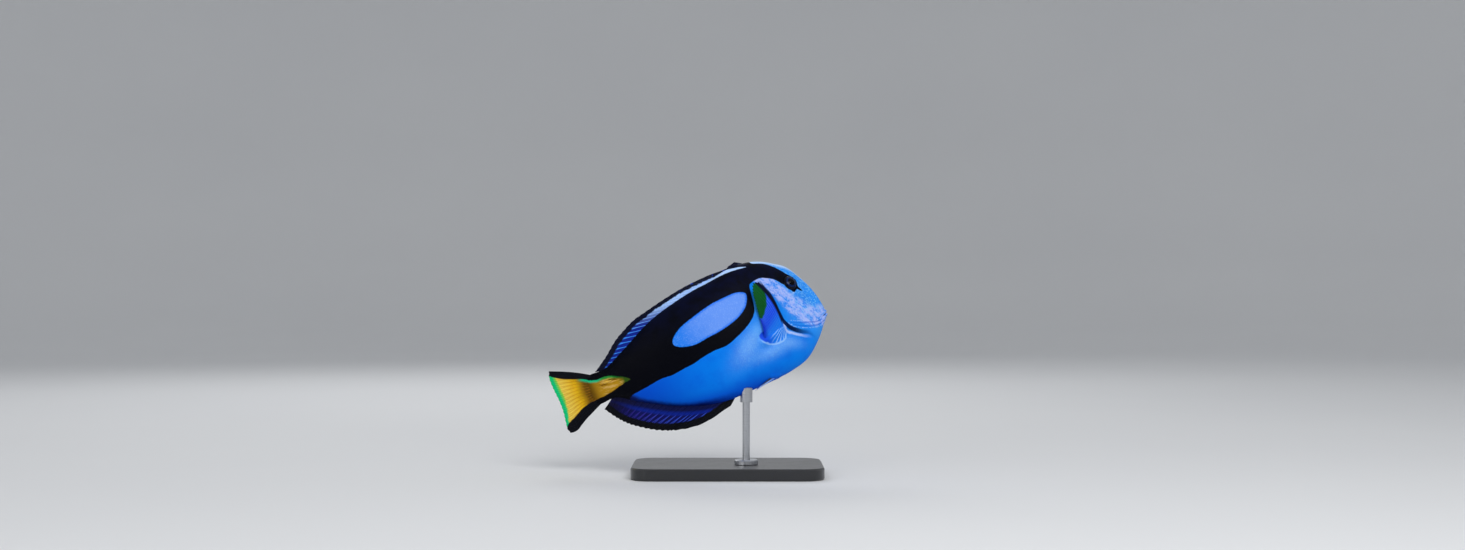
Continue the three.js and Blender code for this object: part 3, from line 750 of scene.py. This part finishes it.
def stalkGoldShaded(along, mottle):
    # olive at the wedge's point, brown painted shade where the fin begins at its fold, bright gold on it
    return paint(
        (40, 84, 20),
        (ease(along, 0.866, 0.905), (188, 142, 28)),
        # painted shade at the fold where the fin begins
        (ease(along, 0.975, 1.032), (106, 74, 6)),
        (ease(along, 1.045, 1.100), (238, 188, 18)),
        (times(ease(mottle, 0.42, 0.75), 0.25), (160, 104, 6)),
    )


def makeSkinFinish():
    made, shader = newMaterial("tangSkin", roughness=0.5, specular=0.05)
    place = objectPlace()
    fishPlace = readVector("fishPlace")
    along, up, _ = split(fishPlace)
    cheek, paintedShade, browHighlightBand = split(readVector("tones"))
    chest, jaw, stripe = split(readVector("washes"))
    speckle, recess, below = split(readVector("touches"))
    grain = useGroup(scaleGrain, Place=place, Size=1500.0)
    mottle = cloud(place, 90.0, 4.0, 0.6)
    patches = cloud(turnedPlace(fishPlace, -50.0, (1.0, 1.7, 1.5)), 30.0, 4.0, 0.58)
    fine = cloud(place, 900.0, 3.0, 0.6)
    wander = sway(cloud(place, 420.0, 3.0, 0.6), 1.5)
    # the face: lavender streaks on the cheek, a painted highlight along the brow, painted shade in the folds
    # and a painted highlight on their edge
    azure = blend(ease(fine, 0.40, 0.66), (40, 132, 244), (96, 168, 251))
    whitish = ease(timesPlus(fine, 0.45, patches), 0.56, 0.84)
    onCheek = times(cheek, timesPlus(patches, 0.8, 0.45))
    browHighlight = times(browHighlightBand, ease(timesPlus(browHighlightBand, 0.36, fine), 0.46, 0.80))
    wrinkleGap = readNumber("wrinkleGap")
    # painted highlight along the edge of the jaw folds
    foldHighlight = ease(calc("ABSOLUTE", calc("SUBTRACT", wrinkleGap, 1.3)), 0.50, 0.10)
    foldHighlight = times(foldHighlight, ease(fine, 0.42, 0.58))
    # the muscle pad that carries the breast fin, with light streaks fanning from its front
    padGap = plus(readNumber("padGap"), wander)
    turns = calc("FRACT", timesPlus(wander, 0.35, times(readNumber("padTurn"), 0.085)))
    streak = times(ease(turns, 0.60, 0.80), ease(along, 0.330, 0.285))
    padTone = paint(
        (18, 128, 244),
        (ease(along, 0.295, 0.345), (20, 76, 226)),
        (times(streak, 0.70), (168, 208, 254)),
    )
    padRim = times(ease(calc("ABSOLUTE", plus(padGap, 0.5)), 0.9, 0.2), ease(up, -0.066, -0.088))
    # the pale rim below the gill cover, and painted shade in the slit along its edge
    rimLight = times(ease(plus(readNumber("rimGap"), wander), 1.5, 0.2), ease(along, 0.128, 0.205))
    slitShade = times(ease(readNumber("gillGap"), 1.70, 0.85), ease(along, 0.118, 0.215))
    slitShade = times(slitShade, ease(up, 0.150, 0.115))
    # painted shade: navy along the keel, where the belly turns under and runs into the rear fin
    keelShade = times(ease(plus(readNumber("keelShadeGap"), wander), -2.2, 1.6), ease(along, 0.44, 0.66))
    blue = paint(
        (0, 126, 238),
        # painted shade: the deeper blue
        (paintedShade, (0, 62, 204)),
        (times(ease(mottle, 0.42, 0.72), 0.40), (0, 90, 220)),
        (times(recess, 0.70), (66, 166, 252)),
        (times(jaw, 0.55), (66, 164, 252)),
        (times(chest, timesPlus(fine, 0.5, 0.42)), (122, 180, 254)),
        (ease(onCheek, 0.12, 0.62), blend(whitish, azure, (168, 186, 251))),
        (times(times(grain["Fleck"], speckle), 0.60), (134, 206, 252)),
        # painted highlight along the brow
        (browHighlight, (178, 212, 255)),
        # painted shade in the folds
        (times(ease(wrinkleGap, 0.75, 0.15), 0.45), (8, 78, 204)),
        # painted highlight beside the folds
        (times(foldHighlight, 0.60), (190, 214, 255)),
        (times(below, 0.9), (190, 214, 255)),
        (ease(padGap, -0.5, 0.7), padTone),
        (times(padRim, 0.65), (160, 204, 254)),
        (times(rimLight, 0.80), (186, 208, 255)),
        # painted shade in the gill slit
        (times(slitShade, 0.96), (1, 8, 52)),
        # painted shade along the keel
        (times(keelShade, 0.95), (2, 12, 74)),
        (stripe, blend(ease(along, 0.48, 0.74), (178, 210, 255), (30, 84, 226))),
    )
    # the oval: azure at its rim, lavender inside, bluer at its rear end
    ovalGap = readNumber("ovalGap")
    ovalTone = paint(
        (22, 112, 238),
        (ease(plus(ovalGap, wander), 0.0, 2.0), (100, 150, 243)),
        (times(ease(timesPlus(mottle, 0.12, along), 0.555, 0.70), 0.85), (4, 122, 238)),
        (times(grain["Fleck"], 0.16), (160, 196, 255)),
    )
    # the yellow wedge with its strands, painted as shade and highlights along the spine's groove, and its
    # green rim
    wedgeGap = plus(readNumber("wedgeGap"), times(wander, 0.8))
    strands = cloud(turnedPlace(fishPlace, -9.0, (1.0, 8.0, 3.0)), 26.0, 3.0, 0.55)
    onStalk = times(ease(along, 0.868, 0.892), ease(along, 0.995, 0.960))
    # painted shade: dark strands along the spine's groove
    grooveShade = times(ease(strands, 0.49, 0.55), ease(up, -0.014, 0.004))
    rimTone = paint(
        (18, 78, 22),
        (ease(along, 0.880, 0.930), (40, 144, 56)),
        (ease(along, 0.950, 0.990), (24, 196, 136)),
    )
    yellow = paint(
        stalkGoldShaded(along, mottle),
        (times(grooveShade, times(onStalk, 0.85)), (92, 48, 6)),
        # painted highlight: pale strands along the groove
        (times(ease(strands, 0.46, 0.40), times(onStalk, 0.65)), (226, 184, 104)),
        (times(ease(wedgeGap, 2.4, 0.6), ease(up, -0.020, 0.004)), rimTone),
    )
    # over the blue: the black with its painted sheen, the oval left open in it, the wedge, painted shade in
    # the mouth, and the dark sockets
    blackGap = plus(readNumber("blackGap"), times(wander, 0.35))
    # painted sheen: the black turns navy towards the back, in patches
    blackSheen = times(ease(up, 0.04, 0.19), ease(mottle, 0.25, 0.60))
    mouthShade = times(ease(calc("ABSOLUTE", readNumber("mouthGap")), 0.50, 0.15), ease(along, 0.050, 0.040))
    colour = paint(
        blue,
        # the black, with its painted sheen
        (ease(blackGap, -0.25, 0.25), blend(blackSheen, (1, 2, 10), (3, 7, 34))),
        (ease(plus(ovalGap, times(wander, 0.35)), -0.25, 0.25), ovalTone),
        (ease(wedgeGap, -0.3, 0.4), yellow),
        # painted shade along the mouth
        (times(mouthShade, 0.7), (6, 30, 110)),
        (ease(readNumber("eyeGap"), 5.9, 5.3), (1, 3, 14)),
    )
    scales = bumpFrom(grain["Height"], 0.00008, 0.5)
    feed(shader, colour, bumpFrom(mottle, 0.0005, 0.3, scales), timesPlus(fine, 0.24, 0.34))
    return made


skinFinish = makeSkinFinish()
dress(makeSkin(), "fish_skin", skinFinish, "skin_blue", "head", "trunk", "tail_stalk")

# fins, each a thin sheet with its rays raised on both faces

dorsalFin = {
    "rays": 28, "from": 0.262, "to": 0.940, "lean": 0.045, "sweep": 0.065, "inset": 1.2,
    "edge": [(0.307, 0.249), (0.335, 0.243), (0.36, 0.240), (0.44, 0.2345), (0.53, 0.227), (0.64, 0.208),
             (0.71, 0.193), (0.763, 0.181), (0.812, 0.160), (0.852, 0.1405), (0.875, 0.1255), (0.897, 0.109),
             (0.920, 0.0935), (0.942, 0.081), (0.958, 0.072), (0.973, 0.0645), (0.985, 0.0595)],
    "columns": 10, "rows": 34, "web": 0.30, "ray": 0.85, "root": 1.3, "notch": 0.012, "gash": 0.35,
}
analFin = {
    "rays": 21, "from": 0.505, "to": 0.950, "inset": 1.2,
    "edge": [(0.520, -0.257), (0.567, -0.266), (0.626, -0.279), (0.676, -0.283), (0.734, -0.276),
             (0.789, -0.260), (0.842, -0.236), (0.894, -0.203), (0.935, -0.172), (0.969, -0.136),
             (1.006, -0.086)],
    "lean": [(0, 0.035), (0.05, 0.084), (0.10, 0.128), (0.15, 0.157), (0.20, 0.174), (0.30, 0.159),
             (0.40, 0.155), (0.50, 0.148), (0.60, 0.138), (0.75, 0.110), (0.85, 0.087), (1, 0.056)],
    "columns": 10, "rows": 40, "web": 0.30, "ray": 0.85, "root": 1.3, "notch": 0.012, "gash": 0.0,
}
tailFin = {
    "rays": 16,
    "edge": [(0, 1.178), (0.08, 1.187), (0.25, 1.189), (0.5, 1.184), (0.65, 1.185), (0.85, 1.194),
             (0.93, 1.197), (1, 1.190)],
    "top": [(0, 0.054), (0.20, 0.075), (0.43, 0.096), (0.67, 0.115), (1, 0.1385)],
    "bottom": [(0, -0.058), (0.33, -0.079), (0.50, -0.090), (0.67, -0.104), (0.80, -0.1155), (0.92, -0.118),
               (1, -0.115)],
    "leaf": [(0.960, 0.0275), (0.990, 0.032), (1.019, 0.04), (1.048, 0.056), (1.094, 0.0725), (1.138, 0.0915),
             (1.170, 0.11), (1.190, 0.124), (1.220, 0.13), (1.225, -0.10), (1.196, -0.09), (1.189, -0.084),
             (1.164, -0.0735), (1.130, -0.062), (1.091, -0.047), (1.056, -0.0405), (1.026, -0.04),
             (0.998, -0.04), (0.960, -0.04)],
    "columns": 14, "rows": 56, "web": 0.34, "ray": 0.9, "root": 1.6, "notch": 0.005, "gash": 0.0,
}
pectoralFin = {
    "rays": 16, "cup": 0.012, "bow": 0.0115,
    "tipAlong": [(0, 0.301), (0.12, 0.318), (0.3, 0.330), (0.55, 0.333), (1, 0.335)],
    "tipUp": [(0, 0.134), (0.12, 0.137), (0.3, 0.110), (0.55, 0.070), (1, 0)],
    "tipSide": [(0, 0.1136), (0.3, 0.105), (0.55, 0.0966), (1, 0.0824)],
    "columns": 10, "rows": 44, "web": 0.26, "ray": 0.7, "root": 1.5, "notch": 0.012, "gash": 0.0,
    "green": [(0, 0.90), (0.03, 0.84), (0.10, 0.70), (0.23, 0.607), (0.40, 0.59), (0.65, 0.64), (0.86, 0.78),
              (0.95, 0.97), (1, 1.08)],
}
pelvicFin = {
    "rays": 4, "tipFront": (0.428, -0.242, 0.012), "tipRear": (0.392, -0.227, 0.022), "cup": 0.004,
    "columns": 12, "rows": 36, "web": 0.32, "ray": 0.9, "root": 1.3, "notch": 0.05, "gash": 0.0,
}


def medianRay(values, line, inset, lean, u, t):
    # one ray of a fin in the fish's middle, from its root on the back or belly to its tip
    root = mixed(values["from"], values["to"], u)
    along = mixed(root, root + lean, t * (0.85 + 0.15 * t))
    return along, mixed(line(root) + inset * mm, smoothLine(values["edge"])(root + lean), t), np.zeros_like(u)


def dorsalRay(u, t):
    lean = dorsalFin["lean"] + dorsalFin["sweep"] * np.sin(math.pi * u)
    return medianRay(dorsalFin, topLine, -dorsalFin["inset"], lean, u, t)


def analRay(u, t):
    return medianRay(analFin, bottomLine, analFin["inset"], smoothLine(analFin["lean"])(u), u, t)


def tailRay(u, t):
    up = mixed(smoothLine(tailFin["top"])(t), smoothLine(tailFin["bottom"])(t), u)
    ripple = 0.0028 * np.sin(2 * math.pi * 2.6 * u + 0.6) * np.sin(math.pi * unit(t) ** 0.8)
    return mixed(1.002, smoothLine(tailFin["edge"])(u), t), up, ripple


def pectoralRay(sign):
    def ray(u, t):
        along, up = (mixed(*ends, u) for ends in zip(*skin["pectoralRoot"]))
        side = skinHalf(along, up) - skin["rootSink"]
        bow = 4 * pectoralFin["bow"] * (1 - u) * t * (1 - t)
        out = mixed(side, smoothLine(pectoralFin["tipSide"])(u), t) + pectoralFin["cup"] * np.sin(math.pi * t)
        return (mixed(along, smoothLine(pectoralFin["tipAlong"])(u), t) - bow,
                mixed(up, smoothLine(pectoralFin["tipUp"])(u), t), sign * out)
    return ray


def pelvicRay(sign):
    def ray(u, t):
        along, up = (mixed(*ends, u) for ends in zip(*skin["pelvicRoot"]))
        tip = [mixed(*ends, u) for ends in zip(pelvicFin["tipFront"], pelvicFin["tipRear"])]
        out = mixed(skinHalf(along, up) - skin["rootSink"], tip[2], t) + pelvicFin["cup"] * np.sin(math.pi * t)
        return mixed(along, tip[0], t), mixed(up, tip[1], t), sign * out
    return ray


def makeFin(values, ray):
    deselectAll()
    bpy.ops.mesh.primitive_grid_add(x_subdivisions=(values["rays"] - 1) * values["columns"],
                                    y_subdivisions=values["rows"], size=1.0)
    piece = bpy.context.object
    mesh = piece.data
    flat = getPlaces(mesh)
    u = unit(flat[:, 0] + 0.5)
    t = unit(flat[:, 1] + 0.5)
    number = u * (values["rays"] - 1)
    off = np.abs(number - np.round(number))
    gash = values["gash"] * bell(number - 2.2, 0.9)      # the gap behind the first spines
    reach = t * (1 - t ** 3 * (gash + 2 * values["notch"] * np.sin(math.pi * off) ** 2))
    along, up, side = ray(u, reach)
    setPlaces(mesh, bend(along, up, side))
    parting = 0.22 * smoothStep(t, 0.35, 1)
    ridge = smoothStep(np.abs(off - parting), 0.17, 0.04)
    thick = values["web"] + (values["ray"] * (1 - 0.55 * t) - values["web"]) * ridge
    thick += (values["root"] - values["ray"]) * unit(1 - t / 0.3)
    edge = np.minimum(np.minimum(u, 1 - u) * (values["rays"] - 1) * 2.2, (1 - t) * 14)
    thick = np.maximum(thick, 0.12) * mixed(0.35, 1, unit(edge))
    group = piece.vertex_groups.new(name="thickness")
    most = thick.max()
    shares = np.round(thick / most, 3)
    for value in np.unique(shares):
        group.add(np.nonzero(shares == value)[0].tolist(), float(value), "REPLACE")
    keepVector(mesh, "fan", number, t, u)
    keepVector(mesh, "fishPlace", along, up, side)
    lengthwise = np.linspace(0, 1, 160)
    rimAlong, rimUp, _ = ray(lengthwise, np.ones_like(lengthwise))
    keepNumber(mesh, "edgeGap", lineDistance(along, up, np.stack([rimAlong, rimUp], 1)))
    if "leaf" in values:
        keepNumber(mesh, "leafGap", lineDistance(along, up, rounded(values["leaf"], True), True))
    if "green" in values:
        keepNumber(mesh, "greenGap", t - smoothLine(values["green"])(u))
    wall = piece.modifiers.new("wall", "SOLIDIFY")
    wall.thickness = most * millimetre
    wall.offset = 0.0
    wall.vertex_group = "thickness"
    wall.use_rim = True
    bpy.ops.object.modifier_apply(modifier="wall")
    piece.vertex_groups.clear()
    faceOutwards()
    bpy.ops.object.shade_smooth()
    return piece


def finBase(name):
    made, shader = newMaterial(name, roughness=0.42, specular=0.10)
    ray, share, across = split(readVector("fan"))
    ridges = useGroup(rayRidges, Ray=ray, Share=share)
    height = timesPlus(ridges["Joint"], -0.12, ridges["Ridge"])
    height = timesPlus(cloud(objectPlace(), 1400.0, 2.0, 0.5), 0.35, height)
    plug(shader.inputs["Normal"], bumpFrom(height, 0.00016, 0.7))
    return made, shader, share, across, ridges["Ridge"]


def finMottle():
    return cloud(objectPlace(), 260.0, 4.0, 0.6)


def makeDorsalFinish():
    # a pale band along the back under a dark uneven margin, breaking into blue strokes at the rear
    made, shader, _, across, ridge = finBase("dorsalSkin")
    mottle = finMottle()
    margin = timesPlus(ease(across, 0.45, 0.72), -1.1, plus(readNumber("edgeGap"), sway(mottle, 2.4)))
    flecks = times(ease(mottle, 0.56, 0.66), ease(across, 0.34, 0.22))
    feed(shader, paint(
        blend(ease(across, 0.43, 0.67), (162, 198, 254), (8, 34, 140)),
        (ridge, blend(ease(across, 0.43, 0.74), (178, 210, 255), (56, 140, 250))),
        (ease(margin, 3.1, 2.3), blend(flecks, (2, 6, 34), (18, 78, 206))),
        (times(ease(across, 0.115, 0.075), 0.95), (3, 8, 40)),
    ))
    return made


def makeAnalFinish():
    # painted shade in navy at the root, a soft blue line of painted sheen, thin blue rays and a broad black
    # margin
    made, shader, share, across, ridge = finBase("analSkin")
    mottle = finMottle()
    rays = times(ease(ridge, 0.35, 0.95), ease(across, 0.99, 0.60))
    feed(shader, paint(
        blend(ease(mottle, 0.35, 0.75), (4, 10, 92), (2, 5, 60)),
        (times(rays, 0.85), blend(ease(across, 0.25, 0.75), (48, 80, 206), (50, 40, 150))),
        # painted sheen: the soft blue line near the root
        (ease(share, 0.50, 0.40), (2, 30, 132)),
        # painted shade where the fin meets the body
        (ease(share, 0.38, 0.22), (2, 11, 66)),
        (times(ease(across, 0.70, 0.97), 0.85), (6, 3, 34)),
        (ease(plus(readNumber("edgeGap"), sway(mottle, 1.8)), 5.3, 4.3), (1, 2, 10)),
    ))
    return made


def makeTailFinish():
    # gold within black margins, green along its upper rim and the trailing edge
    made, shader, share, across, ridge = finBase("tailSkin")
    along, up, _ = split(readVector("fishPlace"))
    mottle = finMottle()
    ragged = sway(mottle, 2.6)
    edgeGap, leafGap = readNumber("edgeGap"), readNumber("leafGap")
    fringe = calc("SUBTRACT", plus(edgeGap, ragged), times(ease(across, 0.95, 0.30), 2.9))
    green = times(ease(up, 0.010, 0.035), ease(share, 0.42, 0.22))
    green = times(ease(timesPlus(ragged, 0.3, leafGap), 2.7, 1.0), green)
    gold = paint(
        stalkGoldShaded(along, mottle),
        (ease(share, 0.45, 0.85), (246, 214, 88)),
        (times(ridge, 0.42), (206, 130, 6)),
        (ease(fringe, 3.1, 1.7), blend(ease(edgeGap, 4.6, 2.4), (128, 212, 76), (6, 204, 124))),
        (green, (24, 196, 136)),
    )
    below = times(ease(up, 0.0, -0.03), 0.45)
    edge = timesPlus(ragged, plus(below, 0.12), leafGap)
    feed(shader, blend(ease(edge, -0.3, 0.3), (1, 3, 14), gold))
    return made


def makePectoralFinish():
    # blue rays with a green blade in front of them and a dark leading edge
    made, shader, share, across, ridge = finBase("pectoralSkin")
    greenGap = plus(sway(finMottle(), 0.10), readNumber("greenGap"))
    lead = ease(timesPlus(share, -0.03, across), 0.085, 0.045)
    feed(shader, paint(
        (16, 124, 244),
        (ease(share, 0.10, 0.40), (22, 74, 232)),
        (times(ridge, 0.45), (96, 156, 254)),
        (times(ease(across, 0.72, 0.98), 0.8), (10, 40, 190)),
        (ease(greenGap, -0.025, 0.035), blend(ridge, (4, 74, 30), (14, 104, 38))),
        (times(lead, ease(share, 0.04, 0.16)), (2, 6, 40)),
    ))
    return made


def makePelvicFinish():
    made, shader, share, across, ridge = finBase("pelvicSkin")
    feed(shader, paint(
        (70, 130, 236),
        (ease(share, 0.0, 0.6), (150, 186, 250)),
        (times(ridge, 0.35), (184, 206, 255)),
        (times(ease(across, 0.40, 0.66), 0.9), (6, 12, 50)),
    ))
    return made


dress(makeFin(dorsalFin, dorsalRay), "dorsal_fin_rays", makeDorsalFinish(), "fin_dark", "dorsal_fin")
dress(makeFin(analFin, analRay), "anal_fin_rays", makeAnalFinish(), "fin_dark", "anal_fin")
dress(makeFin(tailFin, tailRay), "caudal_fin_rays", makeTailFinish(), "skin_yellow", "caudal_fin")
pectoralFinish, pelvicFinish = makePectoralFinish(), makePelvicFinish()
for label, sign in sides:
    dress(makeFin(pectoralFin, pectoralRay(sign)), "pectoral_rays_" + label, pectoralFinish, "fin_green",
          "pectoral_fin_" + label)
    dress(makeFin(pelvicFin, pelvicRay(sign)), "pelvic_rays_" + label, pelvicFinish, "fin_pale",
          "pelvic_fin_" + label)

# eyes

eyeSet = {"radius": 5.3, "height": 3.3, "sink": 0.6, "pupil": 2.6, "rim": 3.5, "swell": 0.35, "behind": 5.0}


def makeEyeFinish():
    made, shader = newMaterial("eyeGloss", roughness=0.12, specular=0.12)
    ring = plus(readNumber("ringGap"), sway(cloud(objectPlace(), 1500.0), 0.35))
    iris = blend(cloud(objectPlace(), 2600.0, 2.0), (3, 16, 54), (10, 42, 96))
    iris = blend(ease(ring, eyeSet["rim"], eyeSet["rim"] + 0.7), iris, (1, 3, 14))
    colour = blend(ease(ring, eyeSet["pupil"], eyeSet["pupil"] + 0.2), (0, 0, 2), iris)
    feed(shader, colour)
    return made


def makeEye(sign):
    deselectAll()
    point, way = seat(*skin["eyePlace"], sign)
    bpy.ops.mesh.primitive_uv_sphere_add(segments=72, ring_count=48, radius=eyeSet["radius"] * millimetre)
    piece = bpy.context.object
    editAll()
    bpy.ops.transform.resize(value=(1, 1, eyeSet["height"] / eyeSet["radius"]))
    bpy.ops.transform.translate(value=(0, 0, -eyeSet["sink"] * millimetre))
    bpy.ops.object.mode_set(mode="OBJECT")
    places = getPlaces(piece.data)
    ring = np.hypot(places[:, 0], places[:, 1]) / millimetre
    front = places[:, 2] > -millimetre
    places[:, 2] += np.where(front, eyeSet["swell"] * millimetre * smoothStep(ring, 2.5, 1.7), 0)
    setPlaces(piece.data, places)
    keepNumber(piece.data, "ringGap", np.where(front, ring, eyeSet["behind"]))
    piece.rotation_euler = Vector(way).to_track_quat("Z", "Y").to_euler()
    piece.location = Vector(point)
    bpy.ops.object.transform_apply(location=True, rotation=True, scale=True)
    bpy.ops.object.shade_smooth()
    return piece


eyeFinish = makeEyeFinish()
for label, sign in sides:
    dress(makeEye(sign), "eye_lens_" + label, eyeFinish, "eye", "eye_" + label)

# tail spines, one folded blade on each side of the stalk

spineSet = {"root": 0.957, "tip": 0.917, "up": 0.006, "drop": 0.004, "wide": 1.15, "thick": 0.75, "proud": 0.3}


def makeSpine(sign):
    deselectAll()
    bpy.ops.mesh.primitive_uv_sphere_add(segments=20, ring_count=28, radius=1.0)
    piece = bpy.context.object
    ball = getPlaces(piece.data)
    share = (1 - ball[:, 2]) / 2
    around = np.arctan2(ball[:, 1], ball[:, 0])
    girth = np.hypot(ball[:, 0], ball[:, 1])
    along = mixed(spineSet["root"], spineSet["tip"], share)
    taper = girth * (1 - 0.75 * share)
    up = spineSet["up"] - spineSet["drop"] * share + taper * spineSet["wide"] * mm * np.sin(around)
    out = skinHalf(along, up) + (spineSet["proud"] + taper * spineSet["thick"] * np.cos(around)) * mm
    setPlaces(piece.data, bend(along, up, sign * out))
    faceOutwards()
    bpy.ops.object.shade_smooth()
    return piece


def makeSpineFinish():
    made, shader = newMaterial("spineBone", roughness=0.35, specular=0.4, coat=0.2)
    tone = cloud(objectPlace(), 700.0)
    feed(shader, blend(tone, (236, 196, 70), (200, 150, 30)), bumpFrom(tone, 0.0001, 0.5))
    return made


spineFinish = makeSpineFinish()
for label, sign in sides:
    dress(makeSpine(sign), "spine_blade_" + label, spineFinish, "skin_yellow", "tail_spine_" + label)

# the stand keeps its solids and gets its finishes


def makeStandBlack():
    made, shader = newMaterial("satinAcrylic", roughness=0.3, specular=0.5, coat=0.4, coatRoughness=0.15)
    place = objectPlace()
    feed(shader, blend(cloud(place, 30.0), (20, 21, 24), (30, 31, 35)),
         bumpFrom(cloud(place, 3000.0, 2.0), 0.00003, 0.5), timesPlus(cloud(place, 60.0, 4.0), 0.18, 0.24))
    return made


def makeStandSteel():
    made, shader = newMaterial("brushedSteel", roughness=0.3, metallic=1.0)
    rings = cloud(stretched(objectPlace(), (60, 60, 9000)), 1.0, 2.0)
    feed(shader, blend(rings, (176, 178, 183), (196, 198, 202)), bumpFrom(rings, 0.00003, 0.4),
         timesPlus(rings, 0.16, 0.22))
    return made


standBlack, standSteel = makeStandBlack(), makeStandSteel()
for name, finish in (("stand_base", standBlack), ("stand_rod", standSteel), ("stand_foot_ring", standSteel),
                     ("stand_cup", standSteel)):
    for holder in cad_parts[name].material_slots:
        holder.material = finish
print("stand finished")
